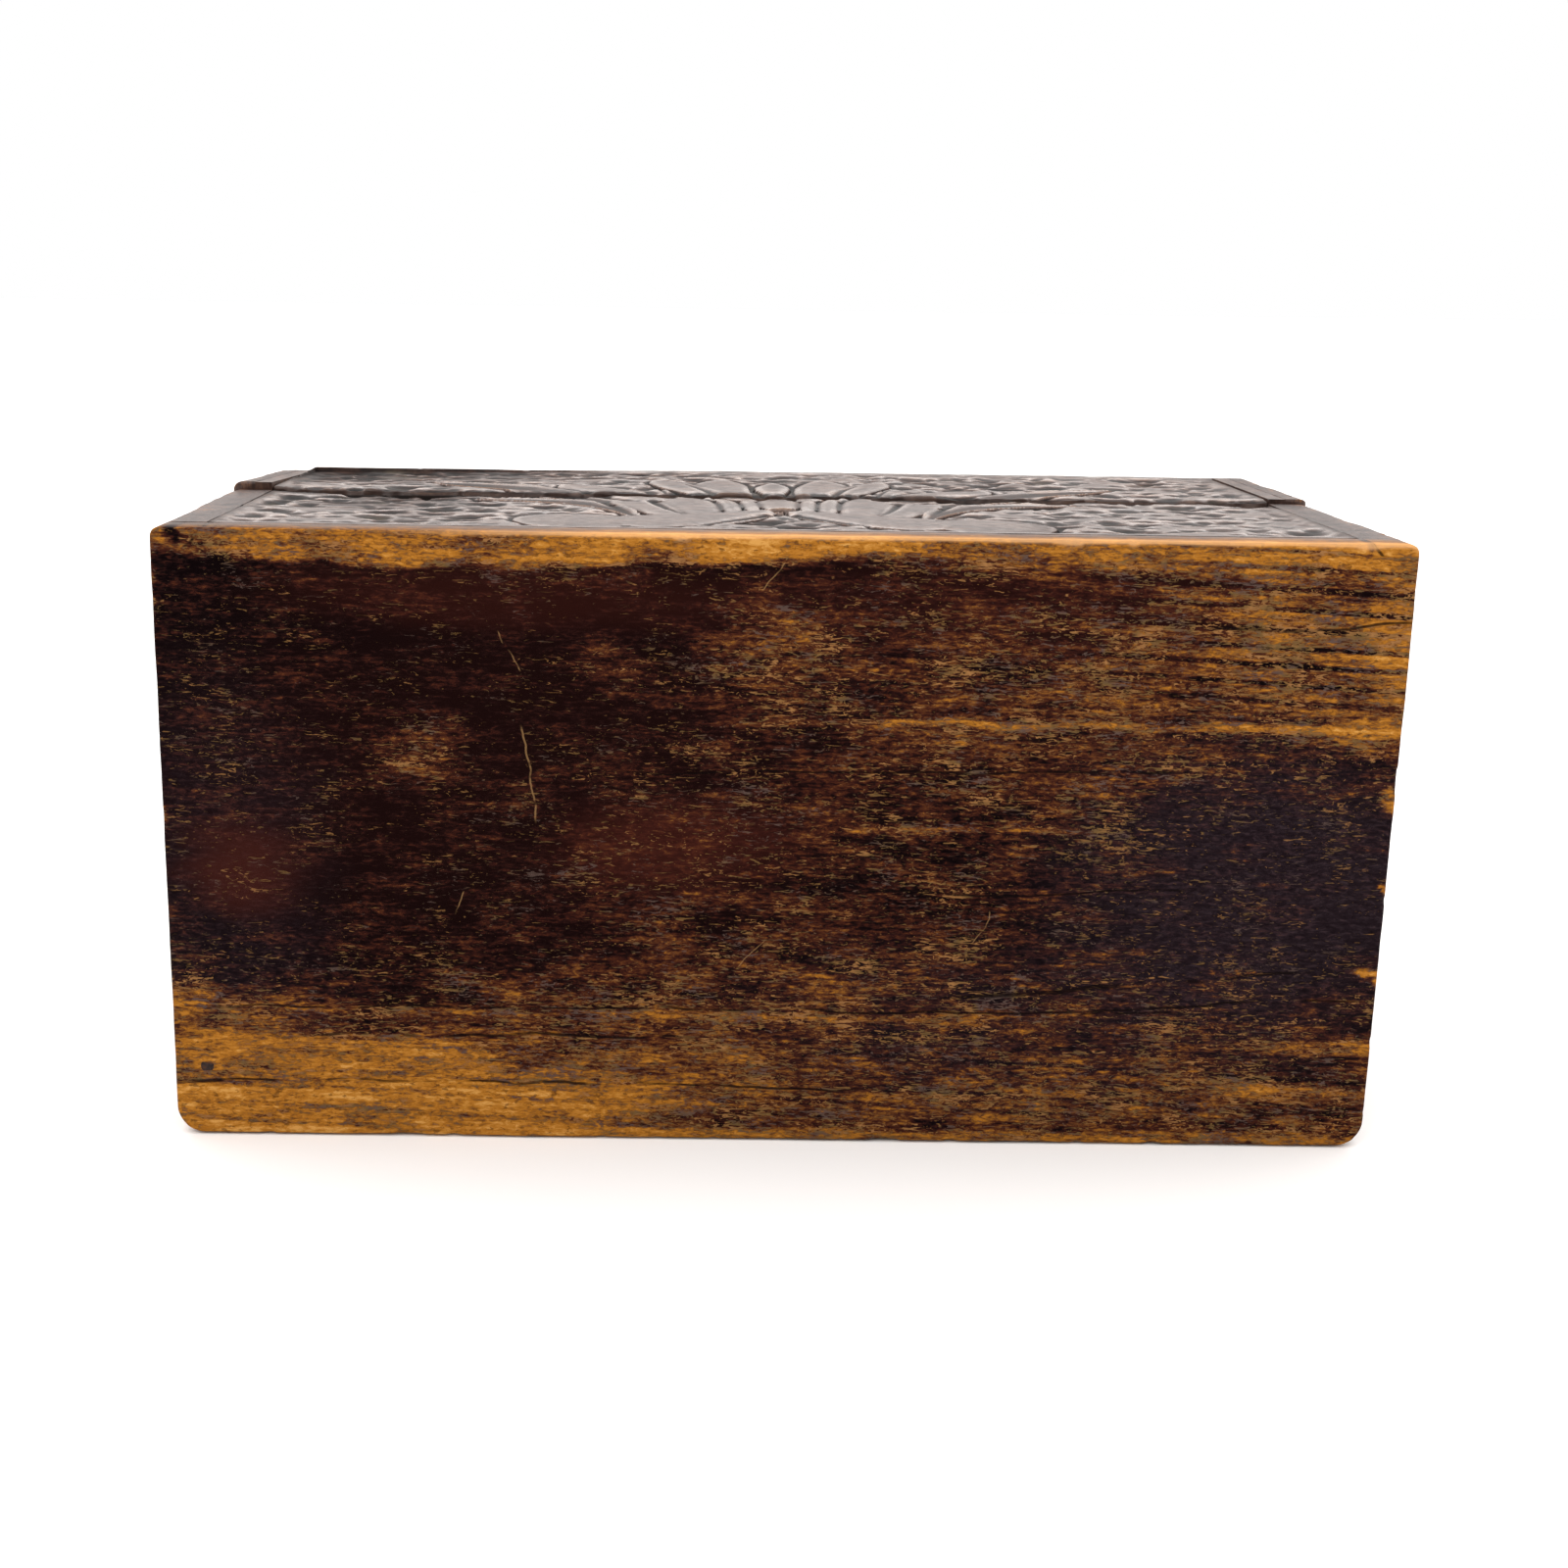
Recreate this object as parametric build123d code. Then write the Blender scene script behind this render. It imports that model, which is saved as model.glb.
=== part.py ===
"""Carved wooden puzzle box: a tray and a lid of the same outline that meet at a seam across the carved front.

The box lies on its back board, as it is stored. +X runs along its length, +Y from the plain base board to the
carved lid board, and +Z out of the carved front. The lid slides towards +Z on two rails inside the tray's ends,
once a bolt at each end, hidden under a sliding end cover, is drawn back.
"""

from build123d import *

import os

# Overall sizes, in millimetres
LENGTH = 200.0  # along X
DEPTH = 112.0  # from the base board's outer face to the lid board's
HEIGHT = 102.0  # from the back face to the tray's carved front
SEAM = 61.0  # from the base board's outer face to the tray's rim

# Boards
BASE_T = 7.5
LID_BOARD_T = 7.5
END_T = 7.5
FRONT_T = 9.0
BACK_T = 8.0
CHEEK_T = 6.0  # the boards inside the ends
SEAM_GAP = 0.4
CORNER_R = 4.0  # worn corners beside the back
EDGE_R = 1.8  # worn corners beside the carved front
ARRIS_R = 0.8  # worn edges of the two big boards

# How far the lid's pieces stand proud of the tray's carved front
LID_PROUD = 0.6
LEFT_COVER_PROUD = 1.4
RIGHT_COVER_PROUD = 0.9
LEFT_COVER_DROP = 2.2  # the left cover's worn slope, from the seam to the lid board

# Sliding fits
SLIDE_GAP = 0.3
COVER_GAP = 0.2
PEG_GAP = 0.02

# Rails on the tray, and the runners on the lid that hook under them
RAIL_RISE = 10.0  # past the tray's rim
LIP_T = 4.0
LIP_REACH = 3.0
RUNNER_WEB = 4.0
RUNNER_GLUE = 9.0  # runner's face on the lid's cheek
RAIL_BACK_GAP = 0.5

# Bolts
BOLT_W = 12.0  # along Z
BOLT_T = 4.0
BOLT_L = 14.0
BOLT_TRAVEL = 7.0
BOLT_FROM_BACK = 14.0
BOLT_CLEAR = 0.25
NAIL_NOTCH_R = 1.6  # fingernail groove

# End covers: dovetail cleat, stop peg and travel
COVER_TRAVEL = 32.0
CLEAT_REACH = 3.0
CLEAT_NECK = 8.0
CLEAT_FLARE = 1.5  # each side
CLEAT_FROM_LID = 9.0  # cleat's middle to the lid board's inner face
CLEAT_FRONT = 14.0  # cleat's front end to the front panel's inner face
PEG_R = 2.0
PEG_REACH = 2.6
PEG_SUNK = 4.0
PEG_FROM_BACK = 62.0

# Glue strips and nails
GLUE_STRIP = 6.0
NAIL_HEAD_R = 1.1
NAIL_HEAD_T = 0.6
NAIL_SHANK_R = 0.6
NAIL_L = 19.0
NAIL_SUNK = 0.3
BASE_NAIL_INSET = 5.4
NAILS_PER_END = 3
NAIL_END_MARGIN = 12.0
NAIL_FROM_BOLT = 5.0

# Carving
RELIEF = 1.0
CARVE_OVER = 4.0  # how far the cutting tool stands clear of the ground
END_BORDER = 6.0
LID_BORDER = 7.0
END_MOTIF_SCALE = 0.62
LID_MOTIF_SCALE = 0.78

# Places that follow from the sizes above
HALF_L = LENGTH / 2
Y_BASE = -DEPTH / 2
Y_BASE_IN = Y_BASE + BASE_T
Y_RIM = Y_BASE + SEAM
Y_LID_RIM = Y_RIM + SEAM_GAP
Y_LID_IN = DEPTH / 2 - LID_BOARD_T
Y_LID = DEPTH / 2
X_END_IN = HALF_L - END_T
X_CHEEK_IN = X_END_IN - CHEEK_T
Z_FRONT_IN = HEIGHT - FRONT_T
LID_FACE = HEIGHT + LID_PROUD
Z_LID_FRONT_IN = LID_FACE - FRONT_T
Y_RAIL_TOP = Y_RIM + RAIL_RISE
Y_LID_CHEEK = Y_RAIL_TOP + SEAM_GAP
X_LIP = X_CHEEK_IN - LIP_REACH
X_WEB = X_LIP - SLIDE_GAP
Z_BOLT = BOLT_FROM_BACK + BOLT_W / 2
Y_BOLT = Y_LID_CHEEK + COVER_GAP
X_COVER_IN = X_END_IN + COVER_GAP
Y_CLEAT = Y_LID_IN - CLEAT_FROM_LID
Z_CLEAT_TOP = Z_LID_FRONT_IN - CLEAT_FRONT
Y_PEG = (Y_LID_CHEEK + Y_CLEAT - CLEAT_NECK / 2 - CLEAT_FLARE) / 2


def board(x, y, z):
    """A box between two limits on each axis."""
    return Pos((x[0] + x[1]) / 2, (y[0] + y[1]) / 2, (z[0] + z[1]) / 2) * Box(
        abs(x[1] - x[0]), abs(y[1] - y[0]), abs(z[1] - z[0])
    )


def span(side, a, b):
    """Limits along X on the left (side -1) or right (side 1), lowest first."""
    return tuple(sorted((side * a, side * b)))


def round_outer_edges(solid, side):
    """Rounds an end's two outer edges that run along Y: widely at the back and a little at the carved front."""
    edges = [e for e in solid.edges().filter_by(Axis.Y) if abs(e.center().X - side * HALF_L) < 0.01]
    back, front = sorted(edges, key=lambda e: e.center().Z)
    solid = fillet(front, EDGE_R)
    edges = [e for e in solid.edges().filter_by(Axis.Y) if abs(e.center().X - side * HALF_L) < 0.01]
    back = min(edges, key=lambda e: e.center().Z)
    return fillet(back, CORNER_R)


# Carving, drawn on a plane with its origin at the middle of the motif's foot

VOLUTE_AT = (34.5, 11.4)
VOLUTE_R = 11.2
# Each leaf: foot, tip, and how far its left and right sides bulge from the line between them
TRAY_LEAVES = [
    ((23.0, 0.4), (1.2, 30.0), 4.5, 9.0),
    ((8.0, 20.0), (7.0, 50.0), 3.2, 3.6),
    ((14.0, 14.0), (16.5, 50.0), 4.6, 4.0),
    ((20.0, 12.0), (26.0, 46.5), 4.6, 3.8),
    ((27.0, 17.0), (55.0, 45.0), 13.0, -8.6),
]
LID_LEAVES = [
    ((4.5, 53.0), (12.5, 82.5), 5.4, 4.4),
    ((11.0, 50.0), (23.5, 81.0), 4.2, 4.0),
    ((19.0, 50.0), (39.5, 72.5), 5.6, 4.8),
    ((30.0, 48.0), (66.0, 76.0), 8.0, 3.4),
]
MIDDLE_LEAVES = [
    ((0.0, 29.0), (0.0, 51.0), 3.4, 3.4),
    ((0.0, 53.0), (0.0, 86.0), 5.6, 5.6),
]


def leaf(foot, tip, left, right):
    """A leaf between two arcs. A negative bulge curves that side the same way as the other one."""
    a, b = Vector(*foot), Vector(*tip)
    middle, along = (a + b) / 2, (b - a).normalized()
    across = Vector(-along.Y, along.X)
    outline = [
        ThreePointArc(a, middle + across * left, b),
        ThreePointArc(b, middle - across * right, a),
    ]
    return make_face(Wire(outline))


def motif(leaves, volutes):
    """A mirrored spray of leaves, with a volute each side where it has them."""
    half = [leaf(*sizes) for sizes in leaves]
    if volutes:
        half.append(Pos(*VOLUTE_AT) * Circle(VOLUTE_R).face())
    middle = [leaf(*sizes) for sizes in MIDDLE_LEAVES]
    return Sketch() + half + [face.mirror(Plane.YZ) for face in half] + middle


def carve(solid, plane, window, shapes):
    """Sinks the ground inside window by RELIEF and leaves the motif standing. window is (x limits, y limits)."""
    (x0, x1), (y0, y1) = window
    opening = Pos((x0 + x1) / 2, (y0 + y1) / 2) * Rectangle(x1 - x0, y1 - y0)
    ground = opening
    for shape in shapes:
        ground = ground - shape
    return solid - extrude(plane * ground, amount=RELIEF + CARVE_OVER)


def front_plane(face_z):
    """The carved front's ground, with its origin where the motif's foot stands on the base board's edge."""
    return Plane(origin=(0, Y_BASE_IN, face_z - RELIEF), x_dir=(1, 0, 0), z_dir=(0, 0, 1))


def end_plane(side):
    """An end's ground, looking in from outside, with local Y along +Y."""
    return Plane(
        origin=(side * (HALF_L - RELIEF), Y_BASE_IN, HEIGHT / 2), x_dir=(0, 0, -side), z_dir=(side, 0, 0)
    )


# Tray


def nail_row(x, z_limits, start_y, direction):
    """Nail solids along Z at one x, driven along direction (+1 towards +Y)."""
    nails = []
    for step in range(NAILS_PER_END):
        share = step / (NAILS_PER_END - 1)
        z = z_limits[0] + share * (z_limits[1] - z_limits[0])
        nails.append(nail(x, start_y + direction * NAIL_SUNK, z, direction))
    return nails


def nail(x, y, z, direction, extra=0.0):
    """One nail with its head at y. extra makes the hole that it sits in."""
    turn = Rot(-90 * direction, 0, 0)
    head = Cylinder(NAIL_HEAD_R + extra, NAIL_HEAD_T + extra, align=(Align.CENTER, Align.CENTER, Align.MIN))
    shank = Cylinder(NAIL_SHANK_R + extra, NAIL_L + extra, align=(Align.CENTER, Align.CENTER, Align.MIN))
    return Pos(x, y, z) * turn * (head + shank)


def nail_holes(x, z_limits, start_y, direction):
    """The holes for nail_row, each open to the face that it is driven from."""
    holes = []
    for step in range(NAILS_PER_END):
        share = step / (NAILS_PER_END - 1)
        z = z_limits[0] + share * (z_limits[1] - z_limits[0])
        turn = Rot(-90 * direction, 0, 0)
        mouth = Cylinder(NAIL_HEAD_R + PEG_GAP, NAIL_SUNK * 2, align=(Align.CENTER, Align.CENTER, Align.MIN))
        holes.append(nail(x, start_y + direction * NAIL_SUNK, z, direction, PEG_GAP))
        holes.append(Pos(x, start_y - direction * NAIL_SUNK, z) * turn * mouth)
    return holes


BASE_NAIL_Z = (NAIL_END_MARGIN, HEIGHT - NAIL_END_MARGIN)
X_BASE_NAIL = HALF_L - BASE_NAIL_INSET
X_LID_NAIL = (X_END_IN + X_CHEEK_IN) / 2
LID_NAIL_Z = (Z_BOLT + BOLT_W / 2 + NAIL_FROM_BOLT, Z_FRONT_IN - NAIL_END_MARGIN)


def base_board():
    """The plain board that the box stands on in use."""
    solid = board((-HALF_L, HALF_L), (Y_BASE, Y_BASE_IN), (0, HEIGHT))
    for side in (-1, 1):
        solid = round_outer_edges(solid, side)
    outer = solid.faces().sort_by(Axis.Y)[0]
    solid = fillet(outer.edges(), ARRIS_R)
    for side in (-1, 1):
        for hole in nail_holes(side * X_BASE_NAIL, BASE_NAIL_Z, Y_BASE, 1):
            solid = solid - hole
    return solid


def tray_front_panel():
    """The tray's half of the carved front."""
    solid = board((-X_END_IN, X_END_IN), (Y_BASE_IN, Y_RIM), (Z_FRONT_IN, HEIGHT))
    window = ((-LENGTH, LENGTH), (-DEPTH, DEPTH))
    return carve(solid, front_plane(HEIGHT), window, [motif(TRAY_LEAVES, True)])


def tray_back_panel():
    """The tray's half of the back."""
    return board((-X_END_IN, X_END_IN), (Y_BASE_IN, Y_RIM), (0, BACK_T))


def tray_end(side):
    """A carved end of the tray, lapped over the ends of the front and back panels."""
    solid = board(span(side, X_END_IN, HALF_L), (Y_BASE_IN, Y_RIM), (0, HEIGHT))
    solid = round_outer_edges(solid, side)
    half = HEIGHT / 2 - END_BORDER
    window = ((-half, half), (END_BORDER, DEPTH))
    shape = motif(TRAY_LEAVES, True).scale(END_MOTIF_SCALE)
    solid = carve(solid, end_plane(side), window, [Pos(0, END_BORDER + 4) * shape])
    for hole in nail_holes(side * X_BASE_NAIL, BASE_NAIL_Z, Y_BASE, 1):
        solid = solid - hole
    return solid


def slide_rail(side):
    """The tray's cheek board, whose rim rises into the lid and carries the lip that the lid hooks under."""
    cheek = span(side, X_CHEEK_IN, X_END_IN)
    solid = board(cheek, (Y_BASE_IN, Y_RIM), (BACK_T, Z_FRONT_IN))
    solid = solid + board(cheek, (Y_RIM, Y_RAIL_TOP), (RAIL_BACK_GAP, Z_FRONT_IN))
    solid = solid + board(
        span(side, X_LIP, X_CHEEK_IN), (Y_RAIL_TOP - LIP_T, Y_RAIL_TOP), (RAIL_BACK_GAP, Z_FRONT_IN)
    )
    notch = board(
        span(side, X_END_IN - BOLT_T - BOLT_CLEAR, HALF_L),
        (Y_BOLT - BOLT_TRAVEL - SLIDE_GAP, Y_RAIL_TOP + 1),
        (Z_BOLT - BOLT_W / 2 - BOLT_CLEAR, Z_BOLT + BOLT_W / 2 + BOLT_CLEAR),
    )
    return solid - notch


def glue_strip(y_face, y_way, z_face, z_way):
    """A three-cornered strip glued into the corner of two boards, along X."""
    corner = [(y_face, z_face), (y_face + y_way * GLUE_STRIP, z_face), (y_face, z_face + z_way * GLUE_STRIP)]
    plane = Plane(origin=(-X_CHEEK_IN, 0, 0), x_dir=(0, 1, 0), z_dir=(1, 0, 0))
    face = make_face(Polyline(*[plane.from_local_coords(Vector(y, z, 0)) for y, z in corner], close=True))
    return extrude(face, amount=2 * X_CHEEK_IN, dir=(1, 0, 0))


# Lid


def lid_board():
    """The carved board on top of the lid in use."""
    solid = board((-HALF_L, HALF_L), (Y_LID_IN, Y_LID), (0, LID_FACE))
    for side in (-1, 1):
        solid = round_outer_edges(solid, side)
    plane = Plane(origin=(0, Y_LID - RELIEF, HEIGHT / 2), x_dir=(-1, 0, 0), z_dir=(0, 1, 0))
    half_x, half_z = HALF_L - LID_BORDER, HEIGHT / 2 - LID_BORDER
    spray = motif(TRAY_LEAVES, True).scale(LID_MOTIF_SCALE)
    lower = Pos(0, -half_z + 2) * spray
    solid = carve(solid, plane, ((-half_x, half_x), (-half_z, half_z)), [lower, lower.mirror(Plane.XZ)])
    for side in (-1, 1):
        for hole in nail_holes(side * X_LID_NAIL, LID_NAIL_Z, Y_LID, -1):
            solid = solid - hole
    return solid


def lid_front_panel():
    """The lid's half of the carved front."""
    solid = board((-X_END_IN, X_END_IN), (Y_LID_RIM, Y_LID_IN), (Z_LID_FRONT_IN, LID_FACE))
    window = ((-LENGTH, LENGTH), (-DEPTH, DEPTH))
    shapes = [motif(LID_LEAVES, False), motif(TRAY_LEAVES, True)]
    return carve(solid, front_plane(LID_FACE), window, shapes)


def lid_back_panel():
    """The lid's half of the back, notched so that the rails pass through it."""
    solid = board((-X_END_IN, X_END_IN), (Y_LID_RIM, Y_LID_IN), (0, BACK_T))
    for side in (-1, 1):
        solid = solid - board(span(side, X_WEB, HALF_L), (Y_RIM, Y_RAIL_TOP + SLIDE_GAP), (-1, BACK_T + 1))
    return solid


def lid_cheek(side):
    """The lid's inner end wall, with the channel that the bolt slides in and the stop peg's hole."""
    solid = board(span(side, X_CHEEK_IN, X_END_IN), (Y_LID_CHEEK, Y_LID_IN), (BACK_T, Z_LID_FRONT_IN))
    channel = board(
        span(side, X_END_IN - BOLT_T - BOLT_CLEAR, HALF_L),
        (Y_LID_CHEEK - 1, Y_BOLT + BOLT_L + SLIDE_GAP),
        (Z_BOLT - BOLT_W / 2 - BOLT_CLEAR, Z_BOLT + BOLT_W / 2 + BOLT_CLEAR),
    )
    solid = solid - channel - peg(side, PEG_GAP)
    for hole in nail_holes(side * X_LID_NAIL, LID_NAIL_Z, Y_LID, -1):
        solid = solid - hole
    return solid


def lid_runner(side):
    """The strip on the lid's cheek that hooks round the rail's lip. Its section is a C."""
    inner = X_WEB - RUNNER_WEB
    z_limits = (BACK_T, Z_LID_FRONT_IN)
    glued = board(span(side, inner, X_CHEEK_IN), (Y_RAIL_TOP + SEAM_GAP, Y_RAIL_TOP + RUNNER_GLUE), z_limits)
    web = board(span(side, inner, X_WEB), (Y_LID_RIM, Y_RAIL_TOP + SEAM_GAP), z_limits)
    foot = board(
        span(side, X_WEB, X_CHEEK_IN - SLIDE_GAP), (Y_LID_RIM, Y_RAIL_TOP - LIP_T - SLIDE_GAP), z_limits
    )
    return glued + web + foot


def cleat_face(extra):
    """The dovetail's section on the left end, as local (outwards from the cheek, along Y)."""
    reach = CLEAT_REACH + extra
    neck = CLEAT_NECK / 2 + extra
    flare = neck + CLEAT_FLARE
    return [(0, -neck), (reach, -flare), (reach, flare), (0, neck)]


def cleat(side, extra=0.0, z_limits=(BACK_T, Z_CLEAT_TOP)):
    """The dovetail strip that an end cover slides on. extra makes the groove for it."""
    plane = Plane(origin=(side * X_END_IN, Y_CLEAT, z_limits[0]), x_dir=(side, 0, 0), z_dir=(0, 0, side))
    corners = [plane.from_local_coords(Vector(x, y, 0)) for x, y in cleat_face(extra)]
    face = make_face(Polyline(*corners, close=True))
    return extrude(face, amount=z_limits[1] - z_limits[0], dir=(0, 0, 1))


def peg(side, extra=0.0):
    """The peg in the lid's cheek that stops the end cover."""
    length = PEG_SUNK + PEG_REACH
    pin = Cylinder(PEG_R + extra, length + extra)
    x = side * (X_END_IN - PEG_SUNK + length / 2)
    return Pos(x, Y_PEG, PEG_FROM_BACK) * Rot(0, 90, 0) * pin


def end_cover(side, proud, drop):
    """A carved end of the lid that slides towards +Z and uncovers the bolt."""
    y_limits = (Y_LID_RIM, Y_LID_IN - COVER_GAP)
    top = HEIGHT + proud
    solid = round_outer_edges(board(span(side, X_COVER_IN, HALF_L), y_limits, (0, top)), side)
    half = HEIGHT / 2 - END_BORDER
    window = ((-half, half), (0, y_limits[1] - Y_BASE_IN - END_BORDER))
    spray = Pos(0, END_BORDER + 4) * motif(TRAY_LEAVES + LID_LEAVES, False).scale(END_MOTIF_SCALE)
    solid = carve(solid, end_plane(side), window, [spray])
    if drop:
        corners = [(y_limits[0], top), (y_limits[1] + 1, top - drop), (y_limits[1] + 1, top + 1), (y_limits[0], top + 1)]
        wedge = make_face(Polyline(*[Vector(0, y, z) for y, z in corners], close=True))
        x_limits = span(side, X_END_IN - 1, HALF_L + 1)
        solid = solid - Pos(x_limits[0], 0, 0) * extrude(wedge, amount=x_limits[1] - x_limits[0], dir=(1, 0, 0))
    solid = solid - cleat(side, COVER_GAP, (-1, Z_CLEAT_TOP + COVER_GAP))
    slot_r = PEG_R + SLIDE_GAP
    slot = board(
        span(side, X_END_IN, X_END_IN + PEG_REACH + SLIDE_GAP),
        (Y_PEG - slot_r, Y_PEG + slot_r),
        (PEG_FROM_BACK - COVER_TRAVEL - slot_r, PEG_FROM_BACK + slot_r),
    )
    return solid - slot


def bolt(side):
    """A flat bolt in the lid's cheek. It drops into the rail's notch, and has a groove for a fingernail."""
    solid = board(
        span(side, X_END_IN - BOLT_T, X_END_IN),
        (Y_BOLT, Y_BOLT + BOLT_L),
        (Z_BOLT - BOLT_W / 2, Z_BOLT + BOLT_W / 2),
    )
    groove = Pos(side * X_END_IN, Y_BOLT + BOLT_L / 2, Z_BOLT) * Cylinder(NAIL_NOTCH_R, BOLT_W * 2)
    return solid - groove


def nodes():
    """Every node's name and shape."""
    made = {
        "base_board": base_board(),
        "tray_front_panel": tray_front_panel(),
        "tray_back_panel": tray_back_panel(),
        "tray_front_glue_strip": glue_strip(Y_BASE_IN, 1, Z_FRONT_IN, -1),
        "tray_back_glue_strip": glue_strip(Y_BASE_IN, 1, BACK_T, 1),
        "lid_board": lid_board(),
        "lid_front_panel": lid_front_panel(),
        "lid_back_panel": lid_back_panel(),
        "lid_front_glue_strip": glue_strip(Y_LID_IN, -1, Z_LID_FRONT_IN, -1),
        "lid_back_glue_strip": glue_strip(Y_LID_IN, -1, BACK_T, 1),
        "base_nails": Compound(
            children=[n for s in (-1, 1) for n in nail_row(s * X_BASE_NAIL, BASE_NAIL_Z, Y_BASE, 1)]
        ),
        "lid_nails": Compound(
            children=[n for s in (-1, 1) for n in nail_row(s * X_LID_NAIL, LID_NAIL_Z, Y_LID, -1)]
        ),
    }
    covers = {-1: (LEFT_COVER_PROUD, LEFT_COVER_DROP), 1: (RIGHT_COVER_PROUD, 0.0)}
    for side, name in ((-1, "left"), (1, "right")):
        made[f"tray_{name}_end"] = tray_end(side)
        made[f"{name}_slide_rail"] = slide_rail(side)
        made[f"lid_{name}_cheek"] = lid_cheek(side)
        made[f"lid_{name}_runner"] = lid_runner(side)
        made[f"{name}_cover_cleat"] = cleat(side)
        made[f"{name}_stop_peg"] = peg(side)
        made[f"{name}_end_cover"] = end_cover(side, *covers[side])
        made[f"{name}_bolt"] = bolt(side)
    return made


os.makedirs("parts", exist_ok=True)
for node_name, shape in nodes().items():
    export_step(shape, f"parts/{node_name}.step")
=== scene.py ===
"""Looks of a carved wooden puzzle box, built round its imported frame."""
import logging
import math
from dataclasses import dataclass, field
from enum import Enum
from typing import Callable

import bmesh
import bpy
import numpy as np
from mathutils import Matrix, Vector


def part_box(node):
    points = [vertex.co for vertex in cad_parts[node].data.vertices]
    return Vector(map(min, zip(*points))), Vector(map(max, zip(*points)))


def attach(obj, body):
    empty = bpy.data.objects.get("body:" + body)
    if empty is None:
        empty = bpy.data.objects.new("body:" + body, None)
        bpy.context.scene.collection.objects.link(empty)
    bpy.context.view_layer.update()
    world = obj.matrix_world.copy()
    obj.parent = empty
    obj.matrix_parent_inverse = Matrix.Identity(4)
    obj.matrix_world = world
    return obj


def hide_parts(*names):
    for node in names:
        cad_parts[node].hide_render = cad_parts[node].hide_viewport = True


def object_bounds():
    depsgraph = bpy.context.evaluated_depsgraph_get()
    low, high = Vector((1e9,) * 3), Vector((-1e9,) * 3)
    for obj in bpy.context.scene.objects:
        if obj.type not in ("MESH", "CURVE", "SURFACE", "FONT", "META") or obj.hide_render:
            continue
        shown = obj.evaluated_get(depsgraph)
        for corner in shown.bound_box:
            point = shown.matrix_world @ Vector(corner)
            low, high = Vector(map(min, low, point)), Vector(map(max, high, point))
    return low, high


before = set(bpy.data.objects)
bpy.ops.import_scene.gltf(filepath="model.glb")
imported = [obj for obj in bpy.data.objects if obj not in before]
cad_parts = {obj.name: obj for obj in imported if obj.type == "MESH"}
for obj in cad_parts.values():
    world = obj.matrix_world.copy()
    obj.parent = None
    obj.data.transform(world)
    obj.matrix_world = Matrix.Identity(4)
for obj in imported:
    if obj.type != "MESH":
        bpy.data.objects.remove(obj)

LOG = logging.getLogger("puzzle_box")
MM = 0.001
CAD_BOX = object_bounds()
MIDDLE_Z = 51.0
HALF_LENGTH = 100
BOARD_T = 7.5
FLAT_TOP = -0.03

Array = np.ndarray
Colour = tuple[float, float, float]


def from_display(red: int, green: int, blue: int) -> Colour:
    """Turns a display colour of 0 to 255 into linear light.

    Args:
        red: red level.
        green: green level.
        blue: blue level.

    Returns:
        The linear colour.
    """
    levels = [level / 255 for level in (red, green, blue)]
    return tuple(v / 12.92 if v <= 0.04045 else ((v + 0.055) / 1.055) ** 2.4 for v in levels)


def smooth_step(value: Array, low: float, high: float) -> Array:
    """Rises smoothly from 0 at low to 1 at high."""
    share = np.clip((value - low) / (high - low), 0, 1)
    return share * share * (3 - 2 * share)


class LatticeNoise:
    """Smooth noise on a plane, the same every run."""

    def __init__(self, seed: int, size: int = 256) -> None:
        """Draws the lattice.

        Args:
            seed: the draw's seed.
            size: cells before the noise repeats.
        """
        self.size = size
        self.table = np.random.default_rng(seed).random((size, size))

    def at(self, u: Array, v: Array, pitch: float) -> Array:
        """Noise of 0 to 1 at points.

        Args:
            u: across, in mm.
            v: up, in mm.
            pitch: a lattice cell's size, in mm.

        Returns:
            One value for each point.
        """
        a, b = u / pitch, v / pitch
        i, j = np.floor(a).astype(int), np.floor(b).astype(int)
        s, t = a - i, b - j
        s, t = s * s * (3 - 2 * s), t * t * (3 - 2 * t)
        i0, j0, i1, j1 = i % self.size, j % self.size, (i + 1) % self.size, (j + 1) % self.size
        low = self.table[i0, j0] * (1 - s) + self.table[i1, j0] * s
        high = self.table[i0, j1] * (1 - s) + self.table[i1, j1] * s
        return low * (1 - t) + high * t

    def layered(self, u: Array, v: Array, pitch: float, layers: int = 3) -> Array:
        """Noise of 0 to 1 with finer layers at half the strength each.

        Args:
            u: across, in mm.
            v: up, in mm.
            pitch: the coarsest cell's size, in mm.
            layers: how many layers.

        Returns:
            One value for each point.
        """
        total, weight = np.zeros_like(u), 0.0
        for layer in range(layers):
            share = 0.5 ** layer
            total += share * self.at(u + 31.7 * layer, v + 17.3 * layer, pitch * share)
            weight += share
        return total / weight


# Carving


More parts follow.
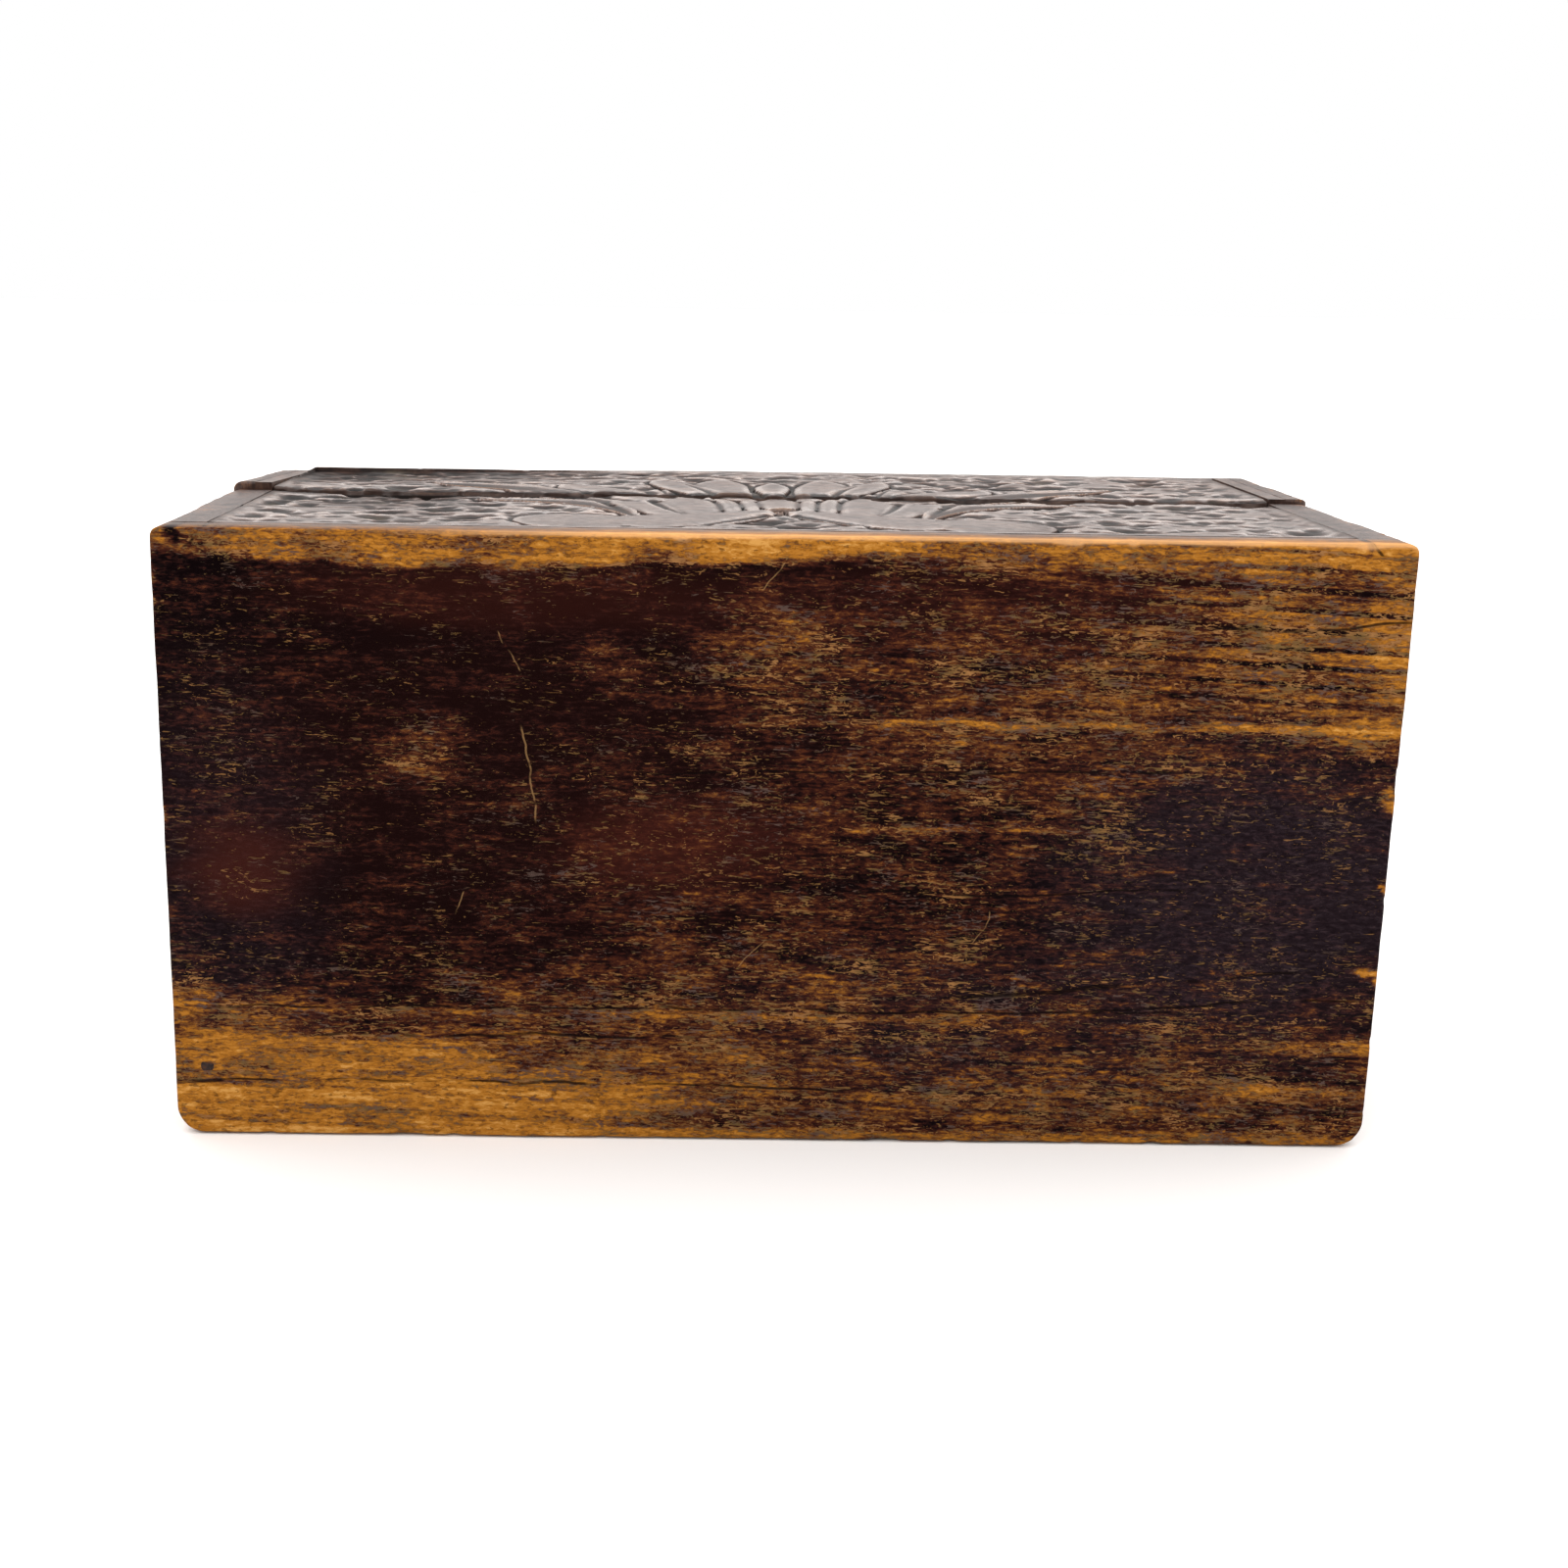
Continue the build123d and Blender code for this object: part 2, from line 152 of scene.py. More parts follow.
@dataclass(frozen=True)
class Stroke:
    """A curve that a chisel follows, in mm from the motif's foot on the base board's outer face."""

    foot: tuple[float, float]
    bend: tuple[float, float]
    tip: tuple[float, float]
    half_width: float

    def nearest(self, u: Array, v: Array, steps: int = 20) -> tuple[Array, Array]:
        """How far points are from the curve, and their shares of its length.

        Args:
            u: across, in mm.
            v: up, in mm.
            steps: points that the curve is cut into.

        Returns:
            Distances in mm, and shares from 0 at the foot to 1 at the tip.
        """
        shares = np.linspace(0, 1, steps)
        a, b, c = (1 - shares) ** 2, 2 * shares * (1 - shares), shares ** 2
        points = np.stack([a * p + b * q + c * r for p, q, r in zip(self.foot, self.bend, self.tip)], 1)
        best, along = np.full(u.shape, 1e9), np.zeros(u.shape)
        for start, end, t0, t1 in zip(points[:-1], points[1:], shares[:-1], shares[1:]):
            run = end - start
            s = np.clip(((u - start[0]) * run[0] + (v - start[1]) * run[1]) / (run @ run), 0, 1)
            gap = np.hypot(u - start[0] - s * run[0], v - start[1] - s * run[1])
            closer = gap < best
            best = np.where(closer, gap, best)
            along = np.where(closer, t0 + s * (t1 - t0), along)
        return best, along


@dataclass(frozen=True)
class Leaf(Stroke):
    """A leaf or lobe that stands up from the ground."""

    hollow: bool = False
    fullest: float = 0.62

    def shape(self, u: Array, v: Array) -> tuple[Array, Array]:
        """The leaf's height at points, and how far outside it they are, in mm.

        Args:
            u: across, in mm.
            v: up, in mm.

        Returns:
            Heights in mm from the face, and distances in mm, negative on the leaf.
        """
        best, along = self.nearest(u, v)
        rise = 0.3 + 0.7 * np.sin(math.pi / 2 * np.clip(along / self.fullest, 0, 1))
        fall = np.sqrt(np.clip(1 - (np.clip(along - self.fullest, 0, 1) / (1.0 - self.fullest)) ** 2, 0, 1))
        width = np.maximum(self.half_width * rise * fall, 0.05)
        edge = np.clip(best / width, 0, 1)
        body = -0.5 * (1 - edge ** 2) + FLAT_TOP if self.hollow else FLAT_TOP - 0.3 * edge ** 4
        return body, best - width


@dataclass(frozen=True)
class Cut(Stroke):
    """A V-shaped cut that thins out towards its tip."""

    deep: float = 0.8

    def floor(self, u: Array, v: Array) -> Array:
        """The cut's height at points, in mm from the face.

        Args:
            u: across, in mm.
            v: up, in mm.

        Returns:
            Heights in mm from the face, negative inwards.
        """
        best, along = self.nearest(u, v)
        width = self.half_width * (1 - along) ** 0.6 + 0.15
        return -self.deep * (1 - 0.6 * along) * (1 - best / width)


EDGE_DEPTH = 1.0
EDGE_GROOVE = 1.4
VOLUTE = (35.0, 20.0, 10.6)
HOLE = (0.6, 39.6, 2.7, 3.4)
TRAY_LEAVES = (
    Leaf((30.0, 19.0), (17.0, 20.0), (2.0, 38.5), 8.6, False, 0.25),
    Leaf((25.0, 28.0), (28.5, 52.5), (55.0, 55.0), 3.5, True, 0.55),
    Leaf((17.5, 24.0), (21.0, 42.0), (28.5, 57.5), 4.8, False, 0.72),
    Leaf((12.0, 25.0), (15.0, 42.0), (17.5, 61.5), 4.8, False, 0.72),
    Leaf((7.5, 30.0), (8.5, 42.0), (10.2, 57.5), 2.1, False, 0.72),
    Leaf((4.5, 34.0), (5.0, 42.0), (6.0, 57.0), 1.7, False, 0.72),
    Leaf((0.0, 38.0), (0.0, 48.0), (0.0, 60.5), 4.2, False, 0.6),
)
TRAY_CUTS = (
    Cut((22.6, 54.0), (20.5, 42.0), (16.6, 31.0), 1.5), Cut((31.5, 51.0), (27.5, 40.0), (24.0, 29.0), 1.6, 0.9),
    Cut((12.6, 58.0), (10.2, 44.0), (10.0, 33.0), 1.0, 0.6), Cut((8.0, 57.0), (7.0, 48.0), (6.4, 38.0), 0.8, 0.6),
    Cut((46.0, 21.0), (46.0, 31.5), (34.0, 31.0), 0.9, 0.6), Cut((34.0, 31.0), (30.0, 31.0), (26.0, 24.0), 1.2, 0.8),
    Cut((2.4, 33.0), (9.5, 19.5), (21.0, 8.6), 1.5, 0.9), Cut((21.0, 8.6), (27.0, 7.4), (38.0, 8.6), 1.5, 0.9),
)
LID_LEAVES = (
    Leaf((28.0, 48.0), (42.0, 66.0), (66.0, 79.0), 4.4, True, 0.5),
    Leaf((20.0, 55.0), (30.0, 62.0), (41.0, 73.0), 5.2),
    Leaf((11.0, 57.0), (15.0, 70.0), (22.0, 86.0), 4.4),
    Leaf((5.0, 56.0), (11.0, 70.0), (9.5, 89.0), 5.4),
    Leaf((0.0, 58.0), (0.0, 72.0), (0.0, 84.0), 3.2),
)
LID_CUTS = (
    Cut((26.0, 53.0), (33.0, 60.0), (45.0, 71.0), 2.4, 1.0), Cut((10.4, 58.0), (12.0, 68.0), (16.5, 78.0), 1.4, 0.9),
    Cut((19.0, 58.0), (20.5, 68.0), (26.0, 80.0), 1.2, 0.8), Cut((2.6, 57.0), (3.4, 68.0), (3.0, 80.0), 0.9, 0.6),
)


@dataclass
class GougedGround:
    """Ground cut back with short scooping strokes of a gouge, which leave sharp uneven ridges between them."""

    seed: int
    pitches: tuple[float, ...] = (8.8, 5.4)
    deep: tuple[float, ...] = (1.15, 0.8)
    curve: tuple[float, ...] = (0.05, 0.095)

    def __post_init__(self) -> None:
        """Draws where each stroke goes."""
        self.draw = np.random.default_rng(self.seed).random((64, 64, 5))
        self.lumps = LatticeNoise(self.seed + 9)

    def height(self, u: Array, v: Array) -> Array:
        """The ground's height at points, in mm from the face.

        Args:
            u: across, in mm.
            v: up, in mm.

        Returns:
            Heights in mm from the face, negative inwards.
        """
        stray_u, stray_v = self.lumps.layered(u, v, 4.0, 2) - 0.5, self.lumps.layered(v + 50, u, 4.0, 2) - 0.5
        u, v = u + 2.2 * stray_u, v + 2.2 * stray_v
        ground = 0.02 - 0.3 * self.lumps.layered(u, v, 7.0, 3)
        for pitch, deep, curve in zip(self.pitches, self.deep, self.curve):
            i, j = np.floor(u / pitch).astype(int), np.floor(v / pitch).astype(int)
            for di in (-1, 0, 1):
                for dj in (-1, 0, 1):
                    draw = self.draw[(i + di) % 64, (j + dj) % 64]
                    du = u - (i + di + 0.12 + 0.76 * draw[..., 0]) * pitch
                    dv = v - (j + dj + 0.12 + 0.76 * draw[..., 1]) * pitch
                    turn = (draw[..., 2] - 0.5) * 1.7
                    p = du * np.cos(turn) + dv * np.sin(turn)
                    q = dv * np.cos(turn) - du * np.sin(turn)
                    cut = deep * (0.45 + 0.55 * draw[..., 3])
                    lean = 0.16 * (draw[..., 4] - 0.5) * p
                    ground = np.minimum(ground, curve * (0.75 * p * p + 1.5 * q * q) + lean - cut)
        return np.maximum(ground, -1.2)


@dataclass
class Motif:
    """A spray of leaves between two rounds, on gouged ground."""

    scale: float = 1.0
    seed: int = 7
    mirror_at: float | None = None

    def __post_init__(self) -> None:
        """Prepares the ground."""
        self.ground = GougedGround(self.seed)
        self.fine = LatticeNoise(self.seed + 40)

    def height(self, u: Array, v: Array) -> Array:
        """The carved surface's height at points.

        Args:
            u: across from the middle, in mm.
            v: up from the base board's outer face, in mm.

        Returns:
            Heights in mm from the face, negative inwards.
        """
        ground = self.ground.height(u + 400, v + 400)
        if self.mirror_at is not None:
            v = self.mirror_at - np.abs(v - self.mirror_at)
        stray = (self.fine.at(u + 9, v, 17.0) - 0.5, self.fine.at(v, u + 60, 17.0) - 0.5)
        u, v = (u + 1.6 * stray[0]) / self.scale, (v + 1.6 * stray[1]) / self.scale
        half = np.abs(u)
        body, outside = self.round_end(half, v)
        for leaf in TRAY_LEAVES + LID_LEAVES:
            top, gap = leaf.shape(half, v)
            body = np.where(gap < 0, np.maximum(body, top), body)
            outside = np.minimum(outside, gap)
        groove = -EDGE_DEPTH * (1 - np.clip(outside / EDGE_GROOVE, 0, 1))
        height = np.where(outside < 0, body, np.minimum(ground, groove))
        for cut in TRAY_CUTS + LID_CUTS:
            height = np.minimum(height, cut.floor(half, v))
        across = np.hypot(u - HOLE[0], v - HOLE[1])
        height = np.where(across < HOLE[2], -HOLE[3] * smooth_step(-across, -HOLE[2], -HOLE[2] + 0.8), height)
        worn = 0.5 * np.maximum(self.fine.at(u, v, 21.0) - 0.3, 0)
        return height + 0.1 * (self.fine.layered(u, v, 1.6) - 0.5) - worn

    @staticmethod
    def round_end(half: Array, v: Array) -> tuple[Array, Array]:
        """The smooth round that each side curls into, and how far outside it points are.

        Args:
            half: across from the middle without its sign, in mm.
            v: up, in mm.

        Returns:
            Heights in mm from the face, and distances in mm, negative on the round.
        """
        side, up, radius = VOLUTE
        across = np.hypot(half - side, v - up)
        body = np.where(across < radius, FLAT_TOP - 0.3 * (across / radius) ** 4, -9.0)
        return body, across - radius


# Board meshes


class Facing(Enum):
    """Which way a board's worked face looks. Each value is (across, up, outwards) as row axes with signs."""

    BASE = ((1, 0, 0), (0, 0, 1), (0, -1, 0))
    FRONT = ((1, 0, 0), (0, 1, 0), (0, 0, 1))
    LID = ((-1, 0, 0), (0, 0, 1), (0, 1, 0))
    LEFT = ((0, 0, -1), (0, 1, 0), (-1, 0, 0))
    RIGHT = ((0, 0, 1), (0, 1, 0), (1, 0, 0))


@dataclass
class BoardBlank:
    """A closed board whose worked face is a fine grid, with worn edges.

    The worked face's rectangle is (across, up), measured from its middle, and the board's thickness is inwards.
    """

    node: str
    facing: Facing
    pitch: float = 0.5
    wear_by_side: tuple[float, float, float, float] = (0.9, 0.9, 0.9, 0.9)
    corners: tuple[float, float, float, float] = (0.0, 0.0, 0.0, 0.0)
    wobble: float = 0.12
    seed: int = 1
    relief: Callable[[Array, Array], Array] | None = None
    top_drop: Callable[..., tuple[Array, Array, Array]] | None = None
    paint: Callable[..., dict[str, Array]] | None = None
    rub_by_side: tuple[float, float, float, float] = (1.0, 1.0, 1.0, 1.0)
    # Per side, how much painted shade, with some dirt, darkens the face along that edge, as where the halves meet at
    # the seam.
    dirt_by_side: tuple[float, float, float, float] = (0.0, 0.0, 0.0, 0.0)
    backing: tuple[Array, ...] = ()
    skin: float | None = None
    arc_steps: int = 5
    side_steps: int = 3

    def __post_init__(self) -> None:
        """Reads the board's box from the frame."""
        low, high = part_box(self.node)
        self.low = np.array(low) / MM
        self.high = np.array(high) / MM
        self.axes = np.array(self.facing.value, float)
        ends = np.stack([self.low, self.high]) @ self.axes.T
        self.start = ends.min(0)
        self.size = ends.max(0) - self.start
        if self.skin:
            self.start[2] += self.size[2] - self.skin
            self.size[2] = self.skin

    def build(self) -> bpy.types.Object:
        """Makes the board and stands it in for its node.

        Returns:
            The board's object.
        """
        mesh, share, ring = self.lay_out()
        place, attributes = self.shape(share, ring)
        mesh.vertices.foreach_set("co", (place @ self.axes * MM).astype(np.float32).ravel())
        for name, values in attributes.items():
            layer = mesh.attributes.new(name, "FLOAT", "POINT")
            layer.data.foreach_set("value", values.astype(np.float32))
        mesh.update()
        body = bmesh.new()
        body.from_mesh(mesh)
        worked = len(body.faces)
        for corners in self.backing:
            self.add_bar(body, corners)
        bmesh.ops.recalc_face_normals(body, faces=body.faces)
        body.to_mesh(mesh)
        body.free()
        for face in mesh.polygons:
            face.use_smooth = len(face.vertices) == 4 and face.index < worked
        piece = bpy.data.objects.new(f"{self.node}_worked", mesh)
        bpy.context.scene.collection.objects.link(piece)
        return piece

    @staticmethod
    def add_bar(body: bmesh.types.BMesh, corners: Array) -> None:
        """Adds a bar behind the worked part, from eight corners laid out as [x][y][z] in mm.

        Args:
            body: the mesh that it joins.
            corners: its corners.
        """
        made = bmesh.ops.create_cube(body, size=2.0)["verts"]
        values = {"ridge": 0.5, "inside": float(np.ptp(corners[..., 2]) > 5)}
        layers = {name: body.verts.layers.float.get(name) for name in values}
        for vert in made:
            vert.co = corners[tuple(int(part > 0) for part in vert.co)] * MM
            for name, layer in layers.items():
                vert[layer] = values[name]

    def lay_out(self) -> tuple[bpy.types.Mesh, Array, Array]:
        """Lays the grid and pulls its rim down into sides.

        Returns:
            The mesh, each vertex's shares (across, up) of the face, and its ring, 0 on the face.
        """
        across, up = (max(4, round(self.size[i] / self.pitch)) for i in (0, 1))
        body = bmesh.new()
        bmesh.ops.create_grid(body, x_segments=across, y_segments=up, size=1.0)
        ring = body.verts.layers.int.new("ring")
        rim = [edge for edge in body.edges if edge.is_boundary]
        for step in range(1, self.arc_steps + self.side_steps + 1):
            pulled = bmesh.ops.extrude_edge_only(body, edges=rim)["geom"]
            for item in pulled:
                if isinstance(item, bmesh.types.BMVert):
                    item[ring] = step
            rim = [item for item in pulled if isinstance(item, bmesh.types.BMEdge) and item.is_boundary]
        bmesh.ops.contextual_create(body, geom=rim)
        mesh = bpy.data.meshes.new(self.node)
        body.to_mesh(mesh)
        body.free()
        count = len(mesh.vertices)
        place, rings = np.empty(count * 3, np.float32), np.empty(count, np.int32)
        mesh.vertices.foreach_get("co", place)
        mesh.attributes["ring"].data.foreach_get("value", rings)
        mesh.attributes.remove(mesh.attributes["ring"])
        share = place.reshape(-1, 3)[:, :2].astype(float)
        share = (share - share.min(0)) / (share.max(0) - share.min(0))
        return mesh, share, rings

    def worn(self, share: Array) -> tuple[Array, Array, Array, Array]:
        """How far the edges are worn, as the radius at the four sides: low across, high across, low up, high up.

        Args:
            share: shares (across, up) of the face.

        Returns:
            Four radii for each vertex, in mm.
        """
        noise = LatticeNoise(self.seed)
        u, v = share[:, 0] * self.size[0], share[:, 1] * self.size[1]
        radii = []
        for index, along in enumerate((v, v, u, u)):
            line = np.full(along.shape, 13.0 * index)
            slow = noise.layered(along, line, 9.0)
            chips = smooth_step(noise.at(along, line + 5, 3.1), 0.74, 0.92)
            radii.append(self.wear_by_side[index] * (0.55 + 0.9 * slow + 0.9 * chips))
        return tuple(radii)

    def shape(self, share: Array, ring: Array) -> tuple[Array, dict[str, Array]]:
        """Places every vertex.

        Args:
            share: shares (across, up) of the face.
            ring: the ring that each vertex is on.

        Returns:
            Places in mm along (across, up, outwards), and the attributes that the finish reads.
        """
        left, right, bottom, top = self.worn(share)
        turn = np.clip(ring / self.arc_steps, 0, 1) * math.pi / 2
        inset, drop = 1 - np.sin(turn), 1 - np.cos(turn)
        wave = LatticeNoise(self.seed + 3)
        u0, v0 = share[:, 0] * self.size[0], share[:, 1] * self.size[1]
        stray = [self.wobble * wave.layered(along, np.full(along.shape, 29.0 * k), 6.0)
                 for k, along in enumerate((v0, v0, u0, u0))]
        low_u, high_u = left * inset + stray[0], self.size[0] - right * inset - stray[1]
        low_v, high_v = bottom * inset + stray[2], self.size[1] - top * inset - stray[3]
        u = low_u + share[:, 0] * (high_u - low_u)
        v = low_v + share[:, 1] * (high_v - low_v)
        u, v = self.round_corners(u, v)
        flat_u, flat_v = u + self.start[0], v + self.start[1]
        relief = self.relief(flat_u, flat_v) if self.relief else np.zeros(u.shape)
        fade = 1 - np.clip(ring / self.arc_steps, 0, 1)
        rim = [share[:, 0] < 1e-6, share[:, 0] > 1 - 1e-6, share[:, 1] < 1e-6, share[:, 1] > 1 - 1e-6]
        radius = np.select(rim, (left, right, bottom, top), 0.0)
        down = np.interp(ring - self.arc_steps, np.arange(self.side_steps + 1), (0.0, 0.5, 0.995, 1.0))
        thickness = self.size[2]
        depth = radius * drop * (1 - down) + down * thickness
        w = np.where(down >= 1, 0.0, thickness - depth + relief * fade)
        if self.top_drop:
            u, v, w = self.top_drop(self, u, v, w)
        place = np.stack([u, v, w], 1) + self.start
        gaps = (u0, self.size[0] - u0, v0, self.size[1] - v0)
        edge = np.maximum.reduce([rub * np.clip(1 - gap / 2.6, 0, 1) for rub, gap in zip(self.rub_by_side, gaps)])
        wall = smooth_step(ring.astype(float), self.arc_steps - 0.5, self.arc_steps + 1.5)
        # Painted shade, with some dirt, along the sides given, such as at the seam between the halves.
        dirt = np.maximum.reduce([much * np.clip(1.15 - gap / 1.3, 0, 1)
                                  for much, gap in zip(self.dirt_by_side, gaps)])
        # depth and ridge also drive the carved finish's painted shade in the cuts and painted highlight on the ridges.
        attributes = {"depth": np.clip((-relief - 0.3) / 0.7, 0, 1) * fade, "edge": edge * (1 - 0.75 * wall),
                      "wall": wall, "dirt": dirt, "ridge": 0.5 + (self.raised(share, ring, relief) - 0.5) * fade,
                      "inside": (down >= 1).astype(float)}
        if self.paint:
            attributes.update(self.paint(flat_u, flat_v, ring))
        return place, attributes

    def raised(self, share: Array, ring: Array, relief: Array) -> Array:
        """How far each vertex stands above (over 0.5) or below (under 0.5) the surface round about it.

        Args:
            share: shares (across, up) of the face.
            ring: the ring that each vertex is on, 0 on the face.
            relief: heights of the carving, in mm.

        Returns:
            One value of 0 to 1 for each vertex.
        """
        cells = [max(4, round(self.size[i] / self.pitch)) for i in (0, 1)]
        i, j = (np.rint(share[:, k] * cells[k]).astype(int) for k in (0, 1))
        grid = np.zeros((cells[0] + 1, cells[1] + 1))
        face = ring == 0
        grid[i[face], j[face]] = relief[face]
        near, reach = grid, max(1, round(1.3 / self.pitch))
        for axis in (0, 1):
            pad = [(reach, reach) if k == axis else (0, 0) for k in (0, 1)]
            padded = np.pad(near, pad, mode="edge")
            shifted = [np.take(padded, range(k, k + grid.shape[axis]), axis) for k in range(2 * reach + 1)]
            near = np.mean(shifted, axis=0)
        return np.clip(0.5 + (grid - near)[i, j] / 0.55, 0, 1)

    def round_corners(self, u: Array, v: Array) -> tuple[Array, Array]:
        """Rounds the outline's four corners: low low, high low, low high and high high.

        Args:
            u: across, in mm.
            v: up, in mm.

        Returns:
            The moved places (across, up), in mm.
        """
        for index, radius in enumerate(self.corners):
            if radius <= 0:
                continue
            sign_u, sign_v = (1 if index % 2 else -1), (1 if index > 1 else -1)
            middle_u = self.size[0] - radius if sign_u > 0 else radius
            middle_v = self.size[1] - radius if sign_v > 0 else radius
            du, dv = (u - middle_u) * sign_u, (v - middle_v) * sign_v
            inside = (du > 0) & (dv > 0)
            reach = np.hypot(du, dv) + 1e-9
            scale = np.where(inside, np.maximum(du, dv) / reach, 1.0)
            u = np.where(inside, middle_u + sign_u * du * scale, u)
            v = np.where(inside, middle_v + sign_v * dv * scale, v)
        return u, v


# Shader nodes


class Socket:
    """A shader socket that takes part in sums."""

    def __init__(self, shader: "Shader", link: bpy.types.NodeSocket) -> None:
        """Keeps the socket and the shader it belongs to."""
        self.shader = shader
        self.link = link

    def _math(self, operation: str, *values: "Socket | float") -> "Socket":
        """Adds one Math node."""
        return self.shader.node("ShaderNodeMath", {"operation": operation}, dict(enumerate(values)))

    def __add__(self, other: "Socket | float") -> "Socket":
        """Sum."""
        return self._math("ADD", self, other)

    __radd__ = __add__

    def __mul__(self, other: "Socket | float") -> "Socket":
        """Product."""
        return self._math("MULTIPLY", self, other)

    __rmul__ = __mul__

    def __sub__(self, other: "Socket | float") -> "Socket":
        """Difference."""
        return self._math("SUBTRACT", self, other)

    def __rsub__(self, other: float) -> "Socket":
        """Difference from a number."""
        return self._math("SUBTRACT", other, self)

    def __pow__(self, other: float) -> "Socket":
        """Power."""
        return self._math("POWER", self, other)

    def __abs__(self) -> "Socket":
        """Size without sign."""
        return self._math("ABSOLUTE", self)

    def least(self, other: "Socket | float") -> "Socket":
        """The lesser of two."""
        return self._math("MINIMUM", self, other)

    def most(self, other: "Socket | float") -> "Socket":
        """The greater of two."""
        return self._math("MAXIMUM", self, other)

    def sine(self) -> "Socket":
        """Sine."""
        return self._math("SINE", self)

    def step(self, low: float, high: float) -> "Socket":
        """Moves smoothly from 0 at low to 1 at high."""
        return self.shader.node("ShaderNodeMapRange", {"interpolation_type": "SMOOTHSTEP"}, {0: self, 1: low, 2: high})


class Shader:
    """A material's node tree."""

    def __init__(self, name: str) -> None:
        """Starts an empty material with an output and a Principled shader."""
        self.material = bpy.data.materials.new(name)
        self.material.use_nodes = True
        self.tree = self.material.node_tree
        self.tree.nodes.clear()
        self.surface = self.tree.nodes.new("ShaderNodeBsdfPrincipled")
        out = self.tree.nodes.new("ShaderNodeOutputMaterial")
        self.tree.links.new(self.surface.outputs[0], out.inputs[0])

    def node(self, kind: str, settings: dict | None = None, inputs: dict | None = None,
             output: int | str = 0) -> Socket:
        """Adds a node.

        Args:
            kind: the node's type.
            settings: its settings, set first. stops makes a ramp's stops.
            inputs: values or links for its sockets.
            output: the output wanted.

        Returns:
            That output.
        """
        made = self.tree.nodes.new(kind)
        for name, value in (settings or {}).items():
            if name == "stops":
                self.fill_ramp(made.color_ramp, value)
            else:
                setattr(made, name, value)
        for name, value in (inputs or {}).items():
            if isinstance(value, Socket):
                self.tree.links.new(value.link, made.inputs[name])
            else:
                made.inputs[name].default_value = value
        return Socket(self, made.outputs[output])

    @staticmethod
    def fill_ramp(ramp: bpy.types.ColorRamp, stops: list[tuple[float, Colour]]) -> None:
        """Sets a ramp's stops, each a place and a colour.

        Args:
            ramp: the ramp.
            stops: places of 0 to 1 with their colours.
        """
        while len(ramp.elements) < len(stops):
            ramp.elements.new(0.5)
        for element, (place, colour) in zip(ramp.elements, stops):
            element.position = place
            element.color = (*colour, 1.0)

    def place(self, stretch: Colour, turn: Colour = (0.0, 0.0, 0.0)) -> Socket:
        """Object coordinates in mm, stretched and turned to suit the grain.

        Args:
            stretch: the pattern's size along each axis, in mm.
            turn: angles about each axis.

        Returns:
            The place that a pattern reads.
        """
        seat = self.node("ShaderNodeTexCoord", output="Object")
        scale = tuple(1000.0 / s for s in stretch)
        turned = self.node("ShaderNodeMapping", {"vector_type": "POINT"}, {"Vector": seat, "Rotation": turn})
        return self.node("ShaderNodeMapping", {"vector_type": "POINT"}, {"Vector": turned, "Scale": scale})

    def along(self, axis: str) -> Socket:
        """How far along an axis, in mm."""
        seat = self.node("ShaderNodeTexCoord", output="Object")
        return self.node("ShaderNodeSeparateXYZ", {}, {0: seat}, axis) * 1000.0

    def noise(self, at: Socket, scale: float = 1.0, detail: float = 3.0, rough: float = 0.55,
              warp: float = 0.0) -> Socket:
        """Noise of about 0 to 1."""
        values = {"Vector": at, "Scale": scale, "Detail": detail, "Roughness": rough, "Distortion": warp}
        return self.node("ShaderNodeTexNoise", {}, values)

    def ramp(self, by: Socket, stops: list[tuple[float, Colour]]) -> Socket:
        """A colour ramp."""
        return self.node("ShaderNodeValToRGB", {"stops": stops}, {0: by})

    def mix(self, share: Socket | float, first: Socket | Colour, second: Socket | Colour) -> Socket:
        """Mixes two colours.

        Args:
            share: the second colour's share.
            first: one colour.
            second: the other colour.

        Returns:
            The mixed colour.
        """
        first, second = ((*c, 1.0) if isinstance(c, tuple) else c for c in (first, second))
        settings = {"data_type": "RGBA", "blend_type": "MIX", "clamp_factor": True}
        return self.node("ShaderNodeMix", settings, {0: share, 6: first, 7: second}, 2)

    def hidden(self) -> Socket:
        """1 on the board's hidden face, apart from the strip that can show above its neighbours."""
        return self.reading("inside") * (self.along("Z") * -1.0).step(-98.5, -96.5)

    def bare_inside(self, colour: Socket, grain: "Grain") -> Socket:
        """Leaves the board's hidden face unstained.

        Args:
            colour: the stained colour.
            grain: the way that the grain runs.

        Returns:
            The board's colour.
        """
        fibre = self.noise(self.place(grain.stretched(22, 0.7)), 1.0, 4.0, 0.6, 0.3)
        wood = self.ramp(fibre, [(0.3, from_display(158, 112, 66)), (0.7, from_display(212, 168, 112))])
        return self.mix(self.hidden(), colour, wood)

    def reading(self, name: str) -> Socket:
        """A value that the mesh carries."""
        return self.node("ShaderNodeAttribute", {"attribute_name": name}, output="Fac")

    def finish(self, colour: Socket, rough: Socket | float, height: Socket | None, reach: float,
               fixed: dict[str, float], coat: Socket | float = 0.0) -> bpy.types.Material:
        """Connects the surface.

        Args:
            colour: base colour.
            rough: roughness.
            height: the bump's height, 0 to 1.
            reach: the bump's depth in mm.
            fixed: sockets that are the same all over.
            coat: how much polish lies over it.

        Returns:
            The material.
        """
        links = {"Base Color": colour, "Roughness": rough, "Coat Weight": coat}
        if height is not None:
            bump = {"Strength": 1.0, "Distance": reach * MM, "Height": height}
            links["Normal"] = self.node("ShaderNodeBump", {}, bump)
        for name, value in links.items():
            if isinstance(value, Socket):
                self.tree.links.new(value.link, self.surface.inputs[name])
            else:
                self.surface.inputs[name].default_value = value
        for name, value in fixed.items():
            self.surface.inputs[name].default_value = value
        return self.material


# Finishes

